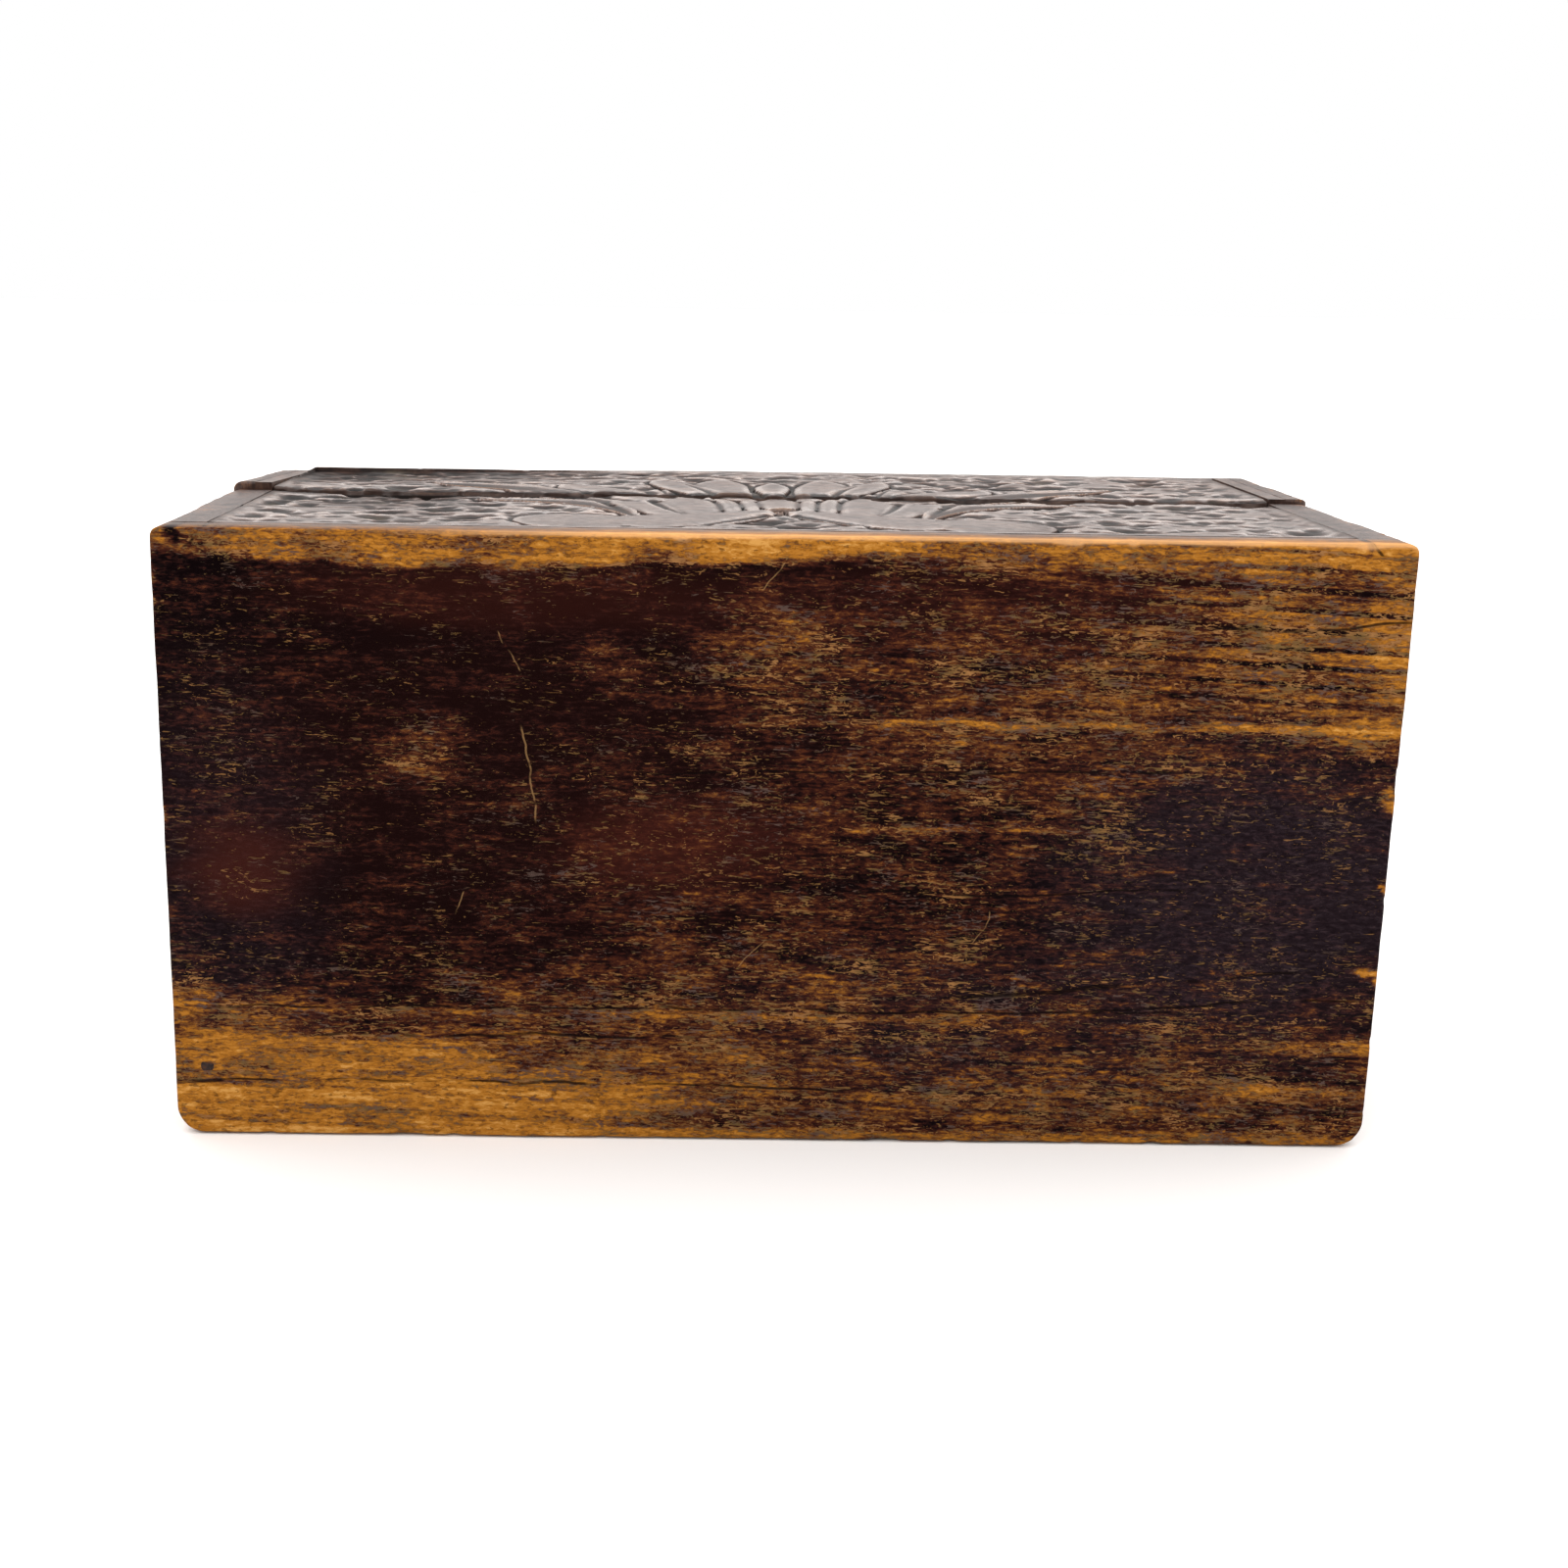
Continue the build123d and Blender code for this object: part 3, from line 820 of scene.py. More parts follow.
WEAR = [(0.0, from_display(7, 2, 3)), (0.08, from_display(13, 5, 6)), (0.17, from_display(26, 11, 10)),
        (0.27, from_display(46, 20, 15)), (0.37, from_display(64, 32, 19)), (0.47, from_display(88, 51, 27)),
        (0.56, from_display(114, 72, 30)), (0.64, from_display(140, 89, 28)), (0.74, from_display(157, 102, 35)),
        (0.85, from_display(169, 115, 47)), (1.0, from_display(192, 141, 73))]
BARE = [(0.0, from_display(110, 60, 14)), (0.3, from_display(142, 88, 26)), (0.5, from_display(158, 103, 36)),
        (0.75, from_display(174, 119, 50)), (1.0, from_display(198, 146, 78))]


class Grain(Enum):
    """The way that a board's grain runs."""

    ALONG_X = (1, 0, 0)
    ALONG_Z = (0, 0, 1)

    def stretched(self, along: float, across: float) -> Colour:
        """Pattern sizes in mm on each axis."""
        return tuple(along if axis else across for axis in self.value)


@dataclass(frozen=True)
class Mark:
    """A thin crack, streak or scratch: its middle, half its length, how far it rises per mm, and half its width."""

    x: float
    z: float
    half: float
    rise: float
    width: float
    upright: bool = False

    def mask(self, along: Socket, up: Socket, stray: Socket) -> Socket:
        """Where the mark is.

        Args:
            along: place along X, in mm.
            up: place along Z, in mm.
            stray: how far it wanders off its line, in mm.

        Returns:
            1 on the mark and 0 off it.
        """
        run, rest = (up - self.z, along - self.x) if self.upright else (along - self.x, up - self.z)
        off = abs(rest - run * self.rise + stray)
        return off.step(self.width, self.width * 0.3) * abs(run).step(self.half, self.half * 0.8)


@dataclass(frozen=True)
class WornStain:
    """Dark stain worn through to orange softwood in flecks and streaks, as on the plain base board, with a painted
    lilac sheen on its black patches and a painted highlight along the top arris.
    """

    name: str = "worn_stain"
    tilt: float = -0.012
    cracks: tuple[Mark, ...] = (
        Mark(62, 28.6, 38, 0.085, 0.42), Mark(72, 25.0, 28, 0.06, 0.3), Mark(-96, 9.4, 4.5, 0.03, 0.5),
        Mark(-40, 9.6, 60, 0.0, 0.28), Mark(-55, 17.8, 45, 0.004, 0.32), Mark(-10, 23.2, 90, 0.004, 0.26),
        Mark(84, 88.5, 18, 0.05, 0.34), Mark(40, 44.0, 30, 0.02, 0.22), Mark(-92.6, 100.6, 1.8, 0.9, 0.5, True),
        Mark(93.0, 101.2, 1.3, -0.6, 0.4, True), Mark(-99.4, 96.0, 1.8, 0.1, 0.7), Mark(20, 64.0, 50, 0.01, 0.2),
    )
    scratches: tuple[Mark, ...] = (
        Mark(-40.5, 63, 8.5, -0.16, 0.22, True), Mark(-43.5, 83, 3.4, -0.5, 0.17, True),
        Mark(-1.5, 95.5, 2.4, 0.7, 0.16, True), Mark(-4, 33, 2.6, 0.8, 0.15, True),
        Mark(-52, 41, 2.2, 0.3, 0.17, True), Mark(34, 38, 3.0, 0.5, 0.13, True),
    )

    def material(self) -> bpy.types.Material:
        """Makes the material. It reads wear, red, rings and glaze from the mesh, also where the black stain lies,
        which carries a painted lilac sheen, and pale, which lays a painted highlight along the top arris.

        Returns:
            The material.
        """
        s = Shader(self.name)
        turn = (0.0, self.tilt, 0.0)
        patches = s.noise(s.place((12, 5, 4.0), turn), 1.0, 4.0, 0.6, 0.4) - 0.5
        streaks = s.noise(s.place((8.0, 1.3, 0.8), turn), 1.0, 4.0, 0.62, 0.4) - 0.5
        flecks = s.noise(s.place((1.7, 0.9, 0.62), turn), 1.0, 5.0, 0.7, 0.6) - 0.5
        lines = s.noise(s.place((60, 1.2, 0.7), turn), 1.0, 3.0, 0.6, 0.25) - 0.5
        wear, glaze = s.reading("wear"), s.reading("glaze")
        tone = wear + 1.1 * patches + 0.85 * streaks + 1.6 * flecks + 0.3 * lines
        rings = s.node("ShaderNodeTexWave", {"bands_direction": "Z"}, {
            "Vector": s.place((150, 9.6, 9.6), (0.0, -0.05, 0.0)), "Scale": 1.0, "Distortion": 2.2, "Detail": 1.0})
        tone = tone - s.reading("rings") * rings.step(0.7, 0.97) * 0.42
        colour = s.ramp(tone * 0.8333, WEAR)
        dark = tone.step(0.62, 0.36)
        # Black stain with a painted lilac sheen on it, laid mostly on the right.
        colour = s.mix(s.reading("soot") * dark * 0.8, colour, s.ramp(flecks + 0.5, [
            (0.3, from_display(18, 10, 14)), (0.5, from_display(33, 24, 29)), (0.68, from_display(52, 42, 47))]))
        colour = s.mix(s.reading("red") * dark * 0.6, colour, from_display(66, 28, 20))
        gather = s.noise(s.place((12, 8, 7)), 1.0, 3.0)
        tint = s.ramp(s.noise(s.place((6, 3, 2.4), turn), 1.0, 3.0), [
            (0.38, from_display(84, 68, 62)), (0.5, from_display(104, 80, 46)), (0.62, from_display(146, 104, 62))])
        for stretch, start in (((2.3, 0.7, 0.42), 0.565), ((1.1, 0.6, 0.5), 0.6)):
            chips = s.noise(s.place(stretch, (0.0, -0.03, 0.0)), 1.0, 2.5, 0.55, 1.1)
            shows = (chips + 0.4 * (gather - 0.5) + 0.22 * (wear - 0.42)).step(start, start + 0.05)
            colour = s.mix(shows * tone.step(0.8, 0.5) * (0.42 + wear).least(0.75), colour, tint)
        specks = s.noise(s.place((1.5, 0.8, 0.7), turn), 1.0, 3.0, 0.6).step(0.585, 0.66)
        colour = s.mix(specks * tone.step(0.5, 0.75) * (1.0 - glaze) * 0.62, colour, from_display(62, 34, 17))
        stray = s.noise(s.place((16, 6, 6)), 1.0, 3.0, 0.5) * 3.0 - 1.5
        broken = (s.noise(s.place((9, 3, 3)), 1.0, 2.0) - 0.5).step(-0.14, 0.02)
        along, up = s.along("X"), s.along("Z")
        crack = self.gathered(self.cracks, along, up, stray) * broken
        colour = s.mix(crack * 0.85, colour, from_display(14, 7, 7))
        scratch = self.gathered(self.scratches, along, up, stray) * broken
        colour = s.mix(scratch * 0.5, colour, from_display(150, 116, 76))
        # Painted highlight: a thin bright peach line along the top arris.
        colour = s.mix(s.reading("pale") * 0.55, colour, from_display(232, 178, 122))
        colour = s.mix(glaze * 0.85, colour, s.ramp(streaks + 0.5, [(0.3, from_display(44, 30, 26)),
                                                                   (0.7, from_display(92, 66, 52))]))
        colour = s.bare_inside(colour, Grain.ALONG_X)
        height = 0.45 * streaks + 0.4 * flecks - 0.35 * tone - 1.0 * crack
        rough = 0.55 + 0.1 * patches + 0.2 * flecks - 0.22 * glaze
        fixed = {"Specular IOR Level": 0.015, "Coat Roughness": 0.24}
        return s.finish(colour, rough, height, 0.16, fixed, glaze * 0.5)

    @staticmethod
    def gathered(marks: tuple[Mark, ...], along: Socket, up: Socket, stray: Socket) -> Socket:
        """Where any of the marks is.

        Args:
            marks: the marks.
            along: place along X, in mm.
            up: place along Z, in mm.
            stray: how far they wander, in mm.

        Returns:
            1 on a mark and 0 elsewhere.
        """
        masks = [mark.mask(along, up, stray) for mark in marks]
        total = masks[0]
        for mask in masks[1:]:
            total = total.most(mask)
        return total


@dataclass(frozen=True)
class CarvedStain:
    """Dark polished stain on carved softwood: glossy on the high places and dull in the cuts. Its colour holds painted
    shade in the cuts and along the seam, and painted highlight on the ridges.
    """

    name: str
    grain: Grain
    rub: float = 0.5
    polish: float = 0.36

    def material(self) -> bpy.types.Material:
        """Makes the material. It reads depth, edge, wall, ridge and the seam's darkening from the mesh; depth and
        ridge paint shade in the cuts and highlight on the ridges, and the seam's darkening is painted shade with some
        dirt.

        Returns:
            The material.
        """
        s = Shader(self.name)
        long_grain = s.noise(s.place(self.grain.stretched(16, 0.8)), 1.0, 4.0, 0.6, 0.3) - 0.5
        mottle = s.noise(s.place(self.grain.stretched(7, 4)), 1.0, 4.0, 0.6) - 0.5
        flecks = s.noise(s.place(self.grain.stretched(1.4, 0.6)), 1.0, 4.0, 0.65) - 0.5
        depth, edge, wall, ridge = (s.reading(name) for name in ("depth", "edge", "wall", "ridge"))
        ridge = ridge - 0.5
        # Painted shade darkens the cuts by depth, and the ridge value paints highlight on what stands proud and shade
        # on what lies low; grain, mottle and flecks are the stain's own colour.
        tone = 0.5 - 0.35 * depth + 0.7 * ridge + 0.7 * long_grain + 0.8 * mottle + 0.5 * flecks - 0.1 * wall
        colour = s.ramp(tone, [(0.0, from_display(12, 7, 6)), (0.25, from_display(32, 20, 17)),
                               (0.5, from_display(66, 45, 37)), (0.75, from_display(100, 72, 56)),
                               (1.0, from_display(136, 102, 76))])
        rubbed = (edge * self.rub + 0.7 * mottle + 0.8 * flecks).step(0.2, 0.5)
        colour = s.mix(rubbed * 0.75, colour, s.ramp(long_grain + 0.5, BARE))
        dust = s.noise(s.place((9, 9, 9)), 1.0, 3.0, 0.6).step(0.55, 0.75) * depth
        colour = s.mix(dust * 0.35, colour, from_display(112, 100, 84))
        # Near-black painted shade, with some dirt, along the seam and where the halves meet the ends.
        dirt = s.reading("dirt")
        colour = s.bare_inside(s.mix(dirt * 0.9, colour, from_display(16, 10, 8)), self.grain)
        height = 0.6 * long_grain + 0.5 * flecks
        rough = (0.45 + 0.3 * mottle + 0.3 * depth + 0.3 * dirt).least(0.9)
        coat = self.polish + 0.8 * mottle + 0.9 * flecks - 1.0 * depth + 2.4 * ridge - 0.5 * rubbed - 0.1 * wall
        coat = coat - 0.15 * s.along("Y").step(0, 30)
        coat = (coat * (1.0 - dirt) - s.hidden()).most(0.0).least(1.0)
        fixed = {"Specular IOR Level": 0.2, "Coat Roughness": 0.2, "Coat IOR": 1.5}
        return s.finish(colour, rough, height, 0.12, fixed, coat)


@dataclass(frozen=True)
class PlainWood:
    """Flat wood with growth rings, bare or thinly stained."""

    name: str
    grain: Grain
    pale: Colour
    dark: Colour
    ring: float = 3.1
    rough: float = 0.6
    coat: float = 0.0

    def material(self) -> bpy.types.Material:
        """Makes the material.

        Returns:
            The material.
        """
        s = Shader(self.name)
        wave = s.noise(s.place(self.grain.stretched(190, 13 * self.ring / 3.1)), 1.0, 2.0, 0.4)
        rings = (wave * 62.0).sine() * 0.5 + 0.5
        fibre = s.noise(s.place(self.grain.stretched(14, 0.32)), 1.0, 4.0, 0.65)
        marks = s.noise(s.place((15, 15, 15)), 1.0, 4.0, 0.6)
        tone = 0.3 + 0.32 * rings ** 2.0 + 0.55 * (fibre - 0.5) + 0.5 * (marks - 0.5)
        middle = tuple((a + b) / 2 for a, b in zip(self.pale, self.dark))
        colour = s.ramp(tone, [(0.0, self.pale), (0.45, middle), (0.95, self.dark)])
        rough = self.rough + 0.2 * (marks - 0.5)
        return s.finish(colour, rough, fibre + 0.3 * rings, 0.08, {"Specular IOR Level": 0.35}, self.coat)


@dataclass(frozen=True)
class DullIron:
    """Darkened nail heads."""

    name: str = "dull_iron"

    def material(self) -> bpy.types.Material:
        """Makes the material.

        Returns:
            The material.
        """
        s = Shader(self.name)
        scale = s.noise(s.place((0.7, 0.7, 0.7)), 1.0, 4.0, 0.6)
        colour = s.ramp(scale, [(0.3, from_display(24, 18, 17)), (0.55, from_display(58, 46, 42)),
                                (0.75, from_display(92, 56, 36))])
        return s.finish(colour, 0.45 + 0.4 * scale, scale, 0.06, {"Metallic": 0.8})


# Sub-assemblies


def seat(piece: bpy.types.Object, node: str, body: str, slot: str, material: bpy.types.Material) -> None:
    """Hides the node that a made piece stands for, and gives the piece its body and finish.

    Args:
        piece: the piece.
        node: the node that it stands for.
        body: the body that it rides on.
        slot: not used.
        material: its finish.
    """
    piece.data.materials.append(material)
    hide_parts(node)
    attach(piece, body)
    LOG.info("%s: %d faces, rides on %s", piece.name, len(piece.data.polygons), body)


def dress(node: str, material: bpy.types.Material) -> None:
    """Gives a carried-over node its finish.

    Args:
        node: the node.
        material: its finish.
    """
    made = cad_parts[node]
    made.data.materials.clear()
    made.data.materials.append(material)
    LOG.info("%s: dressed with %s", node, material.name)


@dataclass
class Patch:
    """A patch on the base board: its middle, half sizes, strength, and how softly it ends."""

    x: float
    z: float
    half_x: float
    half_z: float
    strength: float
    soft: float = 0.6


@dataclass
class BaseBoard:
    """The plain board that the box stands on, with its stain worn through."""

    pitch: float = 0.55
    top_arris: float = 0.75
    side_arris: float = 0.6
    back_corner: float = 4.6
    front_corner: float = 1.6
    stained: float = 0.10
    wear: tuple[Patch, ...] = (
        Patch(96, 90, 42, 15, 0.32), Patch(66, 78, 62, 17, 0.19), Patch(25, 52, 58, 22, 0.15),
        Patch(30, 80, 30, 14, 0.05), Patch(0, 17, 140, 14, 0.21), Patch(-10, 30, 50, 12, 0.07),
        Patch(0, 2, 140, 10, 0.18), Patch(-72, 4, 50, 7, 0.5, 0.5), Patch(76, 8, 44, 9, 0.08),
        Patch(-84, 14.6, 34, 3.4, 0.4, 0.4), Patch(-30, 14, 40, 6, 0.16), Patch(-88, 21, 16, 5, 0.16),
        Patch(-57, 67, 7, 6, 0.24), Patch(-2, 84, 12, 7, 0.25), Patch(-28, 81, 5, 4.5, 0.2),
        Patch(-84, 72, 14, 14, 0.06),
        Patch(56, 72.0, 66, 0.6, 0.3, 0.4), Patch(90, 71.6, 16, 1.8, 0.24, 0.5), Patch(31, 54.4, 22, 0.8, 0.3, 0.5),
        Patch(-12, 22.3, 62, 0.7, 0.22, 0.5), Patch(93, 17.6, 14, 1.3, 0.3, 0.5), Patch(88, 9.4, 16, 1.3, 0.26, 0.5),
        Patch(30, 0.4, 110, 1.7, 0.34, 0.5), Patch(-100, 92, 2.0, 5, 0.45, 0.5), Patch(-100, 58, 1.5, 4, 0.5, 0.5),
        Patch(-97, 25, 5, 4, 0.24), Patch(100, 60, 1.6, 3, 0.6, 0.4), Patch(100, 51.5, 1.4, 2.5, 0.6, 0.4),
        Patch(100, 45, 1.6, 2.2, 0.6, 0.4), Patch(100, 30, 1.8, 2.4, 0.65, 0.4), Patch(98, 82, 5, 16, 0.18),
        Patch(-52, 101.2, 66, 4.6, 0.57, 0.22), Patch(56, 101.8, 70, 4.6, 0.48, 0.45), Patch(-94, 101, 10, 5.5, -0.1),
        Patch(-93.4, 101.6, 1.2, 2.4, -0.6, 0.5), Patch(93.2, 102, 0.9, 1.8, -0.5, 0.5), Patch(-55, 82, 30, 12, -0.06),
        Patch(-60, 40, 30, 12, -0.05), Patch(80, 46, 26, 14, -0.06),
    )
    # Where the black stain lies; the finish gives it a painted lilac sheen.
    soot: tuple[Patch, ...] = (Patch(80, 46, 30, 22, 0.9), Patch(-92, 40, 18, 34, 0.4), Patch(45, 20, 44, 14, 0.45))
    red: tuple[Patch, ...] = (Patch(-87, 46, 10, 7, 0.8), Patch(-16, 51, 16, 7, 0.6), Patch(-42, 62, 50, 32, 0.14),
                              Patch(-40, 92, 36, 5, 0.35), Patch(40, 92, 40, 8, 0.3))
    ringed: tuple[Patch, ...] = (Patch(86, 88, 38, 13, 1.0), Patch(60, 8, 60, 8, 0.35), Patch(-70, 6, 40, 8, 0.4))

    def spread(self, patches: tuple[Patch, ...], x: Array, z: Array, start: float = 0.0) -> Array:
        """Adds patches to a start value, each fading out round its edge.

        Args:
            patches: the patches.
            x: along the box, in mm.
            z: up the base board, in mm.
            start: the value where there is none.

        Returns:
            One value for each point.
        """
        noise = LatticeNoise(91)
        x = x + 14 * (noise.layered(x, z * 2.4, 16.0, 4) - 0.5)
        z = z + 2.0 * (noise.layered(x * 0.3, z, 3.0, 3) - 0.5)
        total = np.full(x.shape, start)
        for patch in patches:
            out = np.sqrt(((x - patch.x) / patch.half_x) ** 2 + ((z - patch.z) / patch.half_z) ** 2)
            total = total + patch.strength * smooth_step(-out, -1 - patch.soft, -1 + patch.soft)
        return total

    def paint(self, x: Array, z: Array, ring: Array) -> dict[str, Array]:
        """The stain's layout, with the black stain's painted sheen and a painted highlight along the top arris, as
        values that the finish reads.

        Args:
            x: along the box, in mm.
            z: up the base board, in mm.
            ring: the ring that each vertex is on, 0 on the face.

        Returns:
            Values by name, one for each vertex.
        """
        top = smooth_step(z, 100.4, 101.5)
        # Painted highlight along the top arris, mostly on its right part.
        pale = top * smooth_step(x, -70, -30) * smooth_step(ring.astype(float), 0.4, 2.0) * (ring < 6)
        glaze = smooth_step(z, 100.8, 101.4) * smooth_step(ring.astype(float), 5.0, 7.0)
        wear = np.clip(self.spread(self.wear, x, z, self.stained), 0.03, 0.98)
        return {"wear": wear, "soot": np.clip(self.spread(self.soot, x, z), 0, 1),
                "red": np.clip(self.spread(self.red, x, z), 0, 1), "pale": pale, "glaze": glaze,
                "rings": np.clip(self.spread(self.ringed, x, z), 0, 1)}

    def relief(self, x: Array, z: Array) -> Array:
        """Shallow hollows along the grain, and the notches where the end walls' grooves run out.

        Args:
            x: along the box, in mm.
            z: up the base board, in mm.

        Returns:
            Heights in mm from the face, negative inwards.
        """
        noise = LatticeNoise(17)
        ripple = -0.16 * noise.layered(x * 0.1, z, 2.4)
        hollow = -0.25 * noise.layered(x * 0.4, z, 14.0)
        notch = sum(np.exp(-((x - at) / 0.8) ** 2) for at in (-93.0, 93.0))
        return ripple + hollow - 0.5 * notch * smooth_step(z, 99.0, 101.5)

    def build(self) -> None:
        """Makes and dresses the board."""
        board = BoardBlank(
            "base_board", Facing.BASE, self.pitch,
            wear_by_side=(self.side_arris, self.side_arris, self.side_arris, self.top_arris),
            corners=(self.back_corner, self.back_corner, self.front_corner, self.front_corner),
            wobble=0.15, seed=5, relief=self.relief, paint=self.paint,
        )
        seat(board.build(), "base_board", "tray", "plain_stained_softwood", WornStain().material())


def framed(height: Array, inner: Array) -> Array:
    """Keeps carving inside a plain border with a groove round it, by how far in from the groove points are.

    Args:
        height: the carving's heights, in mm.
        inner: distances in from the groove, in mm.

    Returns:
        Heights in mm from the face, negative inwards.
    """
    return np.minimum(height * smooth_step(inner, -0.2, 0.8), -0.9 * np.exp(-(inner / 0.6) ** 2))


@dataclass
class CarvedFront:
    """The carved front in its two halves, either side of the seam."""

    pitch: float = 0.36
    motif: Motif = field(default_factory=Motif)
    rim: float = 5.2
    half_length: float = HALF_LENGTH - BOARD_T
    front_rim: float = -47.0
    back_rim: float = 48.5
    corner_loss: float = 1.3
    sag: tuple[float, float, float] = (-66.0, 26.0, 0.35)

    def margin(self, x: Array, gap: Array, width: float) -> Array:
        """0 at the carving's outer border and 1 inside it, with a gap from the long side in mm.

        Args:
            x: along the box, in mm.
            gap: distance from the long side, in mm.
            width: the border's width there, in mm.

        Returns:
            Shares of 0 to 1.
        """
        stray = 2.4 * (self.motif.fine.layered(x, gap, 5.0, 2) - 0.5)
        ends = smooth_step(self.half_length - np.abs(x) + stray, 0.3, 5.0)
        return ends * smooth_step(gap + 0.5 * stray, 0.0, width)

    def chips(self, x: Array, gap: Array) -> Array:
        """How much is chipped off beside the seam, at a gap from it in mm.

        Args:
            x: along the box, in mm.
            gap: distance from the seam, in mm.

        Returns:
            Depths in mm.
        """
        rows = np.zeros(x.shape)
        ragged = self.motif.fine.layered(x, rows + 3, 4.6, 4)
        reach = 0.6 + 3.2 * smooth_step(ragged, 0.4, 0.75)
        return (0.15 + 0.75 * smooth_step(ragged, 0.35, 0.7)) * smooth_step(-gap, -reach, -0.2 * reach)

    def tray_relief(self, x: Array, y: Array) -> Array:
        """Heights on the tray's half, with the box's middle at x = 0. It sags a little left of the middle.

        Args:
            x: along the box, in mm.
            y: from the base board to the lid board, in mm.

        Returns:
            Heights in mm from the face, negative inwards.
        """
        at, spread, deep = self.sag
        height = self.motif.height(x - HOLE[0], y - CAD_BOX[0][1] / MM)
        height = height * self.margin(x, y - self.front_rim, 1.6)
        wave = 1.0 * np.maximum(self.motif.fine.at(x, x * 0 + 8, 13.0) - 0.45, 0) * smooth_step(y, -6, 4)
        sag = deep * np.exp(-((x - at) / spread) ** 2) * smooth_step(y, -30, 5)
        return height - sag - wave - self.chips(x, self.rim - y)

    def lid_relief(self, x: Array, y: Array) -> Array:
        """Heights on the lid's half, worn down towards its far left corner.

        Args:
            x: along the box, in mm.
            y: from the base board to the lid board, in mm.

        Returns:
            Heights in mm from the face, negative inwards.
        """
        height = self.motif.height(x - HOLE[0], y - CAD_BOX[0][1] / MM) * self.margin(x, self.back_rim - y, 3.0)
        height = height - 0.7 * self.chips(x, y - self.rim)
        return height - self.corner_loss * np.clip((-x - 10) / 85, 0, 1) * np.clip((y - 10) / 40, 0, 1)

    def build(self, finish: bpy.types.Material) -> None:
        """Makes and dresses both halves.

        Args:
            finish: the finish.
        """
        # Each half's fourth entry sets, by side, the painted shade with some dirt along the seam and where the half
        # meets the ends.
        halves = (("tray_front_panel", "tray", (0.35, 0.35, 0.2, 0.8), (0.6, 0.6, 0.0, 1.0), self.tray_relief),
                  ("lid_front_panel", "lid", (0.35, 0.35, 0.7, 0.2), (0.6, 0.6, 0.3, 0.0), self.lid_relief))
        for node, body, wear, dirt, relief in halves:
            board = BoardBlank(node, Facing.FRONT, self.pitch, wear_by_side=wear, wobble=0.1, seed=11, relief=relief,
                               rub_by_side=(0.0, 0.0, 0.0, 0.0), dirt_by_side=dirt)
            seat(board.build(), node, body, "carved_stained_softwood", finish)


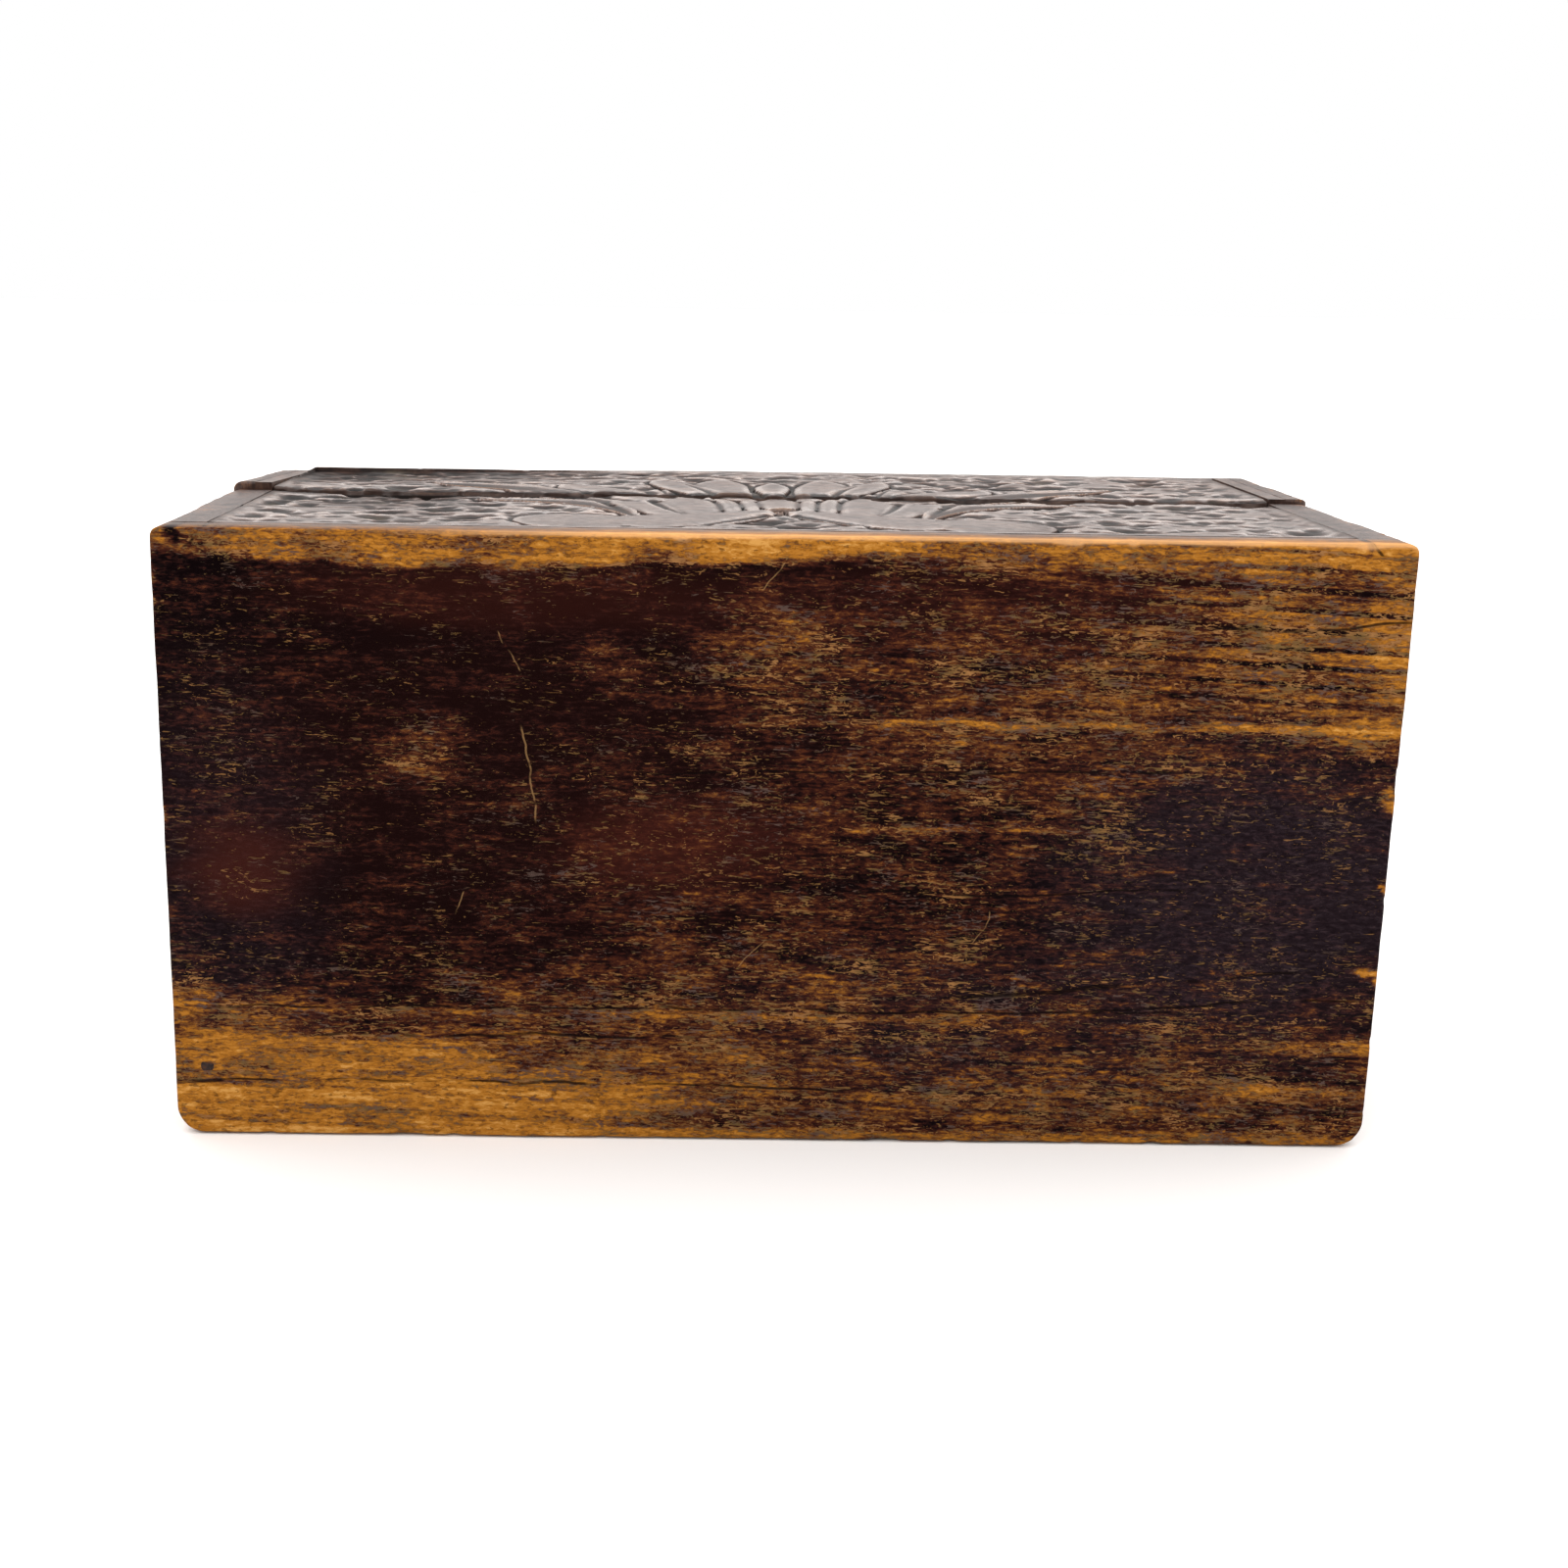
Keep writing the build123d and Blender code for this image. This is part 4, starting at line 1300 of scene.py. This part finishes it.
@dataclass
class CarvedEnds:
    """The tray's carved ends and the lid's sliding end covers."""

    pitch: float = 0.6
    border: float = 6.0
    back_wear: float = 3.4
    front_wear: float = 1.5
    left_drop: float = 1.7
    bar_depth: float = 3.1
    gap: float = 0.2
    cap: float = 1.0
    travel: float = 32.0

    def relief(self, z: Array, y: Array) -> Array:
        """Heights on an end: the spray inside a plain border.

        Args:
            z: up the base board, in mm.
            y: from the base board to the lid board, in mm.

        Returns:
            Heights in mm from the face, negative inwards.
        """
        low, high = CAD_BOX[0] / MM, CAD_BOX[1] / MM
        height = Motif(0.62, 23).height(np.abs(z) - MIDDLE_Z, y - low[1] - self.border + 1)
        side = MIDDLE_Z - np.abs(np.abs(z) - MIDDLE_Z)
        return framed(height, np.minimum.reduce([side, y - low[1] - BOARD_T, high[1] - BOARD_T - y]) - self.border)

    def slope(self, board: BoardBlank, u: Array, v: Array, w: Array) -> tuple[Array, Array, Array]:
        """Wears the left cover's front edge down from the seam to the lid board.

        Args:
            board: the board that is worn.
            u: across, in mm.
            v: up, in mm.
            w: outwards, in mm.

        Returns:
            The moved places (across, up, outwards), in mm.
        """
        drop = self.left_drop * np.clip(v / board.size[1], 0, 1)
        return u + drop * smooth_step(-u, -20, 0), v, w

    def bars(self, side: str) -> tuple[Array, ...]:
        """The bars behind an end cover's carved part, which leave the dovetail groove and the peg's slot free.

        Args:
            side: left or right.

        Returns:
            Eight corners in mm for each bar, laid out as [x][y][z].
        """
        names = ("end_cover", "cover_cleat", "stop_peg")
        cover, cleat, peg = (np.array(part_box(f"{side}_{name}")) / MM for name in names)
        sign = -1.0 if side == "left" else 1.0
        inner = np.abs(cover[:, 0]).min()
        low, high, top = cover[0][1], cover[1][1], cover[1][2] - 0.12
        middle, flare = cleat[:, 1].mean(), (cleat[1][1] - cleat[0][1]) / 2 + self.gap
        neck = flare - 1.5 * self.bar_depth / 3.2
        reach = (peg[1][2] - peg[0][2]) / 2 + 0.3
        slot = (peg[:, 1].mean() - reach, peg[:, 1].mean() + reach)
        stop = (peg[:, 2].mean() - self.travel - reach, peg[:, 2].mean() + reach)
        under, over = (middle - neck, middle - flare), (middle + neck, middle + flare)
        drop = self.left_drop / (high - low) if side == "left" else 0.0
        spans = (((low, low), (slot[0], slot[0]), 0.0, None), ((slot[0], slot[0]), (slot[1], slot[1]), 0.0, stop[0]),
                 ((slot[0], slot[0]), (slot[1], slot[1]), stop[1], None), ((slot[1], slot[1]), under, 0.0, None),
                 (over, (high, high), 0.0, None), (under, over, cleat[1][2] + self.gap, None),
                 ((low, low), (high, high), None, None))
        made = []
        for start, end, bottom, ceiling in spans:
            bar = np.zeros((2, 2, 2, 3))
            for i in (0, 1):
                for j, y in enumerate((start[i], end[i])):
                    head = top - drop * (y - low)
                    foot = head - self.cap if bottom is None else bottom
                    stop_at = ceiling if ceiling is not None else head if bottom is None else head - self.cap
                    for k, z in enumerate((foot, stop_at)):
                        bar[i if sign > 0 else 1 - i, j, k] = (sign * (inner + i * self.bar_depth), y, z)
            made.append(bar)
        return tuple(made)

    def build(self, finish: bpy.types.Material) -> None:
        """Makes and dresses all four.

        Args:
            finish: the finish.
        """
        ends = (("left", Facing.LEFT, (self.front_wear, self.back_wear)),
                ("right", Facing.RIGHT, (self.back_wear, self.front_wear)))
        for side, facing, wear in ends:
            pieces = ((f"tray_{side}_end", "tray", (0.4, 0.7), (0.2, 0.3), None),
                      (f"{side}_end_cover", f"{side}_cover", (0.7, 0.4), (0.3, 0.2),
                       self.slope if side == "left" else None))
            for node, body, seams, rub, drop in pieces:
                cover = node.endswith("cover")
                thick = float(np.ptp(np.abs(np.array(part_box(node))[:, 0]))) / MM
                skin = thick - self.bar_depth + 0.01 if cover else None
                board = BoardBlank(node, facing, self.pitch, wear_by_side=(*wear, *seams), wobble=0.15, seed=31,
                                   relief=self.relief, top_drop=drop, rub_by_side=(0.45, 0.45, *rub), skin=skin,
                                   backing=self.bars(side) if cover else ())
                seat(board.build(), node, body, "carved_stained_softwood", finish)


@dataclass
class LidBoard:
    """The carved board on top of the lid in use."""

    pitch: float = 0.5
    border: float = 7.0
    mirror_at: float = 49.0
    corner_loss: float = 1.4
    edge_loss: float = 0.35

    def relief(self, x: Array, z: Array) -> Array:
        """Heights on the board: two sprays foot to foot inside a plain border.

        Args:
            x: along the box, in mm.
            z: up the base board, in mm.

        Returns:
            Heights in mm from the face, negative inwards.
        """
        height = Motif(0.78, 57, mirror_at=self.mirror_at).height(x, z - MIDDLE_Z + self.mirror_at)
        return framed(height, np.minimum(HALF_LENGTH - np.abs(x), MIDDLE_Z - np.abs(z - MIDDLE_Z)) - self.border)

    def slope(self, board: BoardBlank, u: Array, v: Array, w: Array) -> tuple[Array, Array, Array]:
        """Wears the front edge down towards the left end, which is at high u.

        Args:
            board: the board that is worn.
            u: across, in mm.
            v: up, in mm.
            w: outwards, in mm.

        Returns:
            The moved places (across, up, outwards), in mm.
        """
        drop = self.edge_loss + (self.corner_loss - self.edge_loss) * np.clip((u - board.size[0] + 90) / 90, 0, 1)
        return u, v - drop * smooth_step(v, board.size[1] - 20, board.size[1]), w

    def build(self, finish: bpy.types.Material) -> None:
        """Makes and dresses the board.

        Args:
            finish: the finish.
        """
        board = BoardBlank("lid_board", Facing.LID, self.pitch, wear_by_side=(1.0, 1.0, 1.0, 0.6),
                           corners=(4.0, 4.0, 1.2, 1.2), wobble=0.2, seed=43, relief=self.relief, top_drop=self.slope,
                           rub_by_side=(0.6, 0.6, 0.6, 0.2))
        seat(board.build(), "lid_board", "lid", "carved_stained_softwood", finish)


@dataclass
class InnerWork:
    """The carried-over pieces: back, rails, cheeks, runners, bolts, cleats, pegs, strips and nails."""

    pale: Colour = from_display(214, 172, 118)
    ringed: Colour = from_display(160, 106, 58)
    dense: Colour = from_display(150, 102, 64)
    dense_dark: Colour = from_display(92, 54, 30)

    def build(self) -> None:
        """Dresses each node."""
        stained = PlainWood("back_stain", Grain.ALONG_X, from_display(104, 66, 40), from_display(34, 18, 12),
                            rough=0.45, coat=0.15)
        soft_x = PlainWood("bare_softwood_x", Grain.ALONG_X, self.pale, self.ringed)
        soft_z = PlainWood("bare_softwood_z", Grain.ALONG_Z, self.pale, self.ringed)
        hard = PlainWood("bare_hardwood", Grain.ALONG_Z, self.dense, self.dense_dark, 1.4, 0.4, 0.1)
        finishes = {
            stained: ("tray_back_panel", "lid_back_panel"),
            soft_x: ("tray_front_glue_strip", "tray_back_glue_strip", "lid_front_glue_strip", "lid_back_glue_strip"),
            soft_z: ("left_slide_rail", "right_slide_rail", "lid_left_cheek", "lid_right_cheek"),
            hard: tuple(f"{side}_{part}" for side in ("left", "right") for part in ("bolt", "cover_cleat", "stop_peg"))
            + ("lid_left_runner", "lid_right_runner"),
            DullIron(): ("base_nails", "lid_nails"),
        }
        for finish, nodes in finishes.items():
            material = finish.material()
            for node in nodes:
                dress(node, material)


@dataclass
class Studio:
    """Plain floor, soft light and the camera."""

    lens: float = 46.84
    sensor: float = 36.0
    shift: tuple[float, float] = (0.0547, 0.0076)
    eye: Colour = (-15.5, -376.2, 139.9)
    yaw: float = -0.0073
    pitch: float = -0.2453
    roll: float = -0.0151

    def build(self) -> None:
        """Sets all of it up."""
        bpy.context.scene.view_settings.view_transform = "Standard"
        self.floor()
        self.world()
        self.lamp("key", (-0.55, -1.0, 0.95), (0.9, 0.7), 5.0)
        self.lamp("fill", (0.9, -0.9, 0.5), (0.8, 0.8), 2.5)
        self.lamp("back", (0.0, 0.9, 0.9), (1.6, 0.6), 6.0)
        self.camera()

    def floor(self) -> None:
        """A plain pale floor."""
        body = bmesh.new()
        bmesh.ops.create_grid(body, x_segments=8, y_segments=8, size=12.0)
        bmesh.ops.translate(body, vec=(0, 0, -0.0003), verts=body.verts)
        mesh = bpy.data.meshes.new("floor")
        body.to_mesh(mesh)
        body.free()
        shader = Shader("floor")
        mesh.materials.append(shader.finish(shader.ramp(shader.noise(shader.place((900, 900, 900))), [
            (0.0, (0.9, 0.9, 0.9)), (1.0, (0.94, 0.94, 0.94))]), 0.9, None, 0.0, {"Specular IOR Level": 0.1}))
        floor = bpy.data.objects.new("floor", mesh)
        bpy.context.scene.collection.objects.link(floor)

    def world(self) -> None:
        """White surroundings, dimmer on the side that the plain board faces and brightest overhead."""
        world = bpy.data.worlds.new("surroundings")
        bpy.context.scene.world = world
        world.use_nodes = True
        tree = world.node_tree
        tree.nodes.clear()
        out = tree.nodes.new("ShaderNodeOutputWorld")
        sky, seen = tree.nodes.new("ShaderNodeBackground"), tree.nodes.new("ShaderNodeBackground")
        choose, path = tree.nodes.new("ShaderNodeMixShader"), tree.nodes.new("ShaderNodeLightPath")
        where, split = tree.nodes.new("ShaderNodeTexCoord"), tree.nodes.new("ShaderNodeSeparateXYZ")
        level, overhead = tree.nodes.new("ShaderNodeMapRange"), tree.nodes.new("ShaderNodeMapRange")
        total = tree.nodes.new("ShaderNodeMath")
        links = tree.links
        links.new(where.outputs["Generated"], split.inputs[0])
        ranges = ((level, "Y", (-0.7, 0.35, 0.22, 1.0)), (overhead, "Z", (0.35, 0.9, 0.0, 1.5)))
        for index, (part, axis, limits) in enumerate(ranges):
            for name, value in zip(("From Min", "From Max", "To Min", "To Max"), limits):
                part.inputs[name].default_value = value
            links.new(split.outputs[axis], part.inputs["Value"])
            links.new(part.outputs[0], total.inputs[index])
        links.new(total.outputs[0], sky.inputs["Strength"])
        seen.inputs["Color"].default_value = (1.0, 1.0, 1.0, 1.0)
        sky.inputs["Color"].default_value = (1.0, 0.955, 0.925, 1.0)
        links.new(path.outputs["Is Camera Ray"], choose.inputs[0])
        links.new(sky.outputs[0], choose.inputs[1])
        links.new(seen.outputs[0], choose.inputs[2])
        links.new(choose.outputs[0], out.inputs[0])

    @staticmethod
    def lamp(name: str, place: Colour, size: tuple[float, float], power: float) -> None:
        """A soft rectangular lamp that looks at the box.

        Args:
            name: its name.
            place: where it stands, in metres.
            size: its width and height.
            power: its power in watts.
        """
        light = bpy.data.lights.new(name, "AREA")
        light.shape = "RECTANGLE"
        light.size, light.size_y = size
        light.energy = power
        lamp = bpy.data.objects.new(name, light)
        bpy.context.scene.collection.objects.link(lamp)
        way = np.array((0.0, 0.0, 0.05)) - np.array(place)
        lamp.location = place
        down = math.atan2(math.hypot(way[0], way[1]), -way[2])
        lamp.rotation_euler = (down, 0.0, math.atan2(way[1], way[0]) - math.pi / 2)

    def camera(self) -> None:
        """The camera, in front of the plain board and a little above the box."""
        turns = ((self.yaw, "Z"), (self.pitch, "X"), (self.roll, "Y"), (math.pi / 2, "X"))
        view = Matrix()
        for angle, axis in turns:
            view = view @ Matrix.Rotation(angle, 4, axis)
        data = bpy.data.cameras.new("camera")
        data.lens, data.sensor_width = self.lens, self.sensor
        data.shift_x, data.shift_y = self.shift
        data.clip_start, data.clip_end = 0.01, 50.0
        camera = bpy.data.objects.new("camera", data)
        bpy.context.scene.collection.objects.link(camera)
        camera.matrix_world = Matrix.Translation([v * MM for v in self.eye]) @ view
        bpy.context.scene.camera = camera


def main() -> None:
    """Builds the box's looks in order."""
    logging.basicConfig(level=logging.INFO, format="%(message)s")
    BaseBoard().build()
    front = CarvedStain("carved_front_stain", Grain.ALONG_X, 0.35).material()
    ends = CarvedStain("carved_end_stain", Grain.ALONG_Z, 0.5, 0.26).material()
    CarvedFront().build(front)
    CarvedEnds().build(ends)
    LidBoard().build(front)
    InnerWork().build()
    Studio().build()


if __name__ == "__main__":
    main()
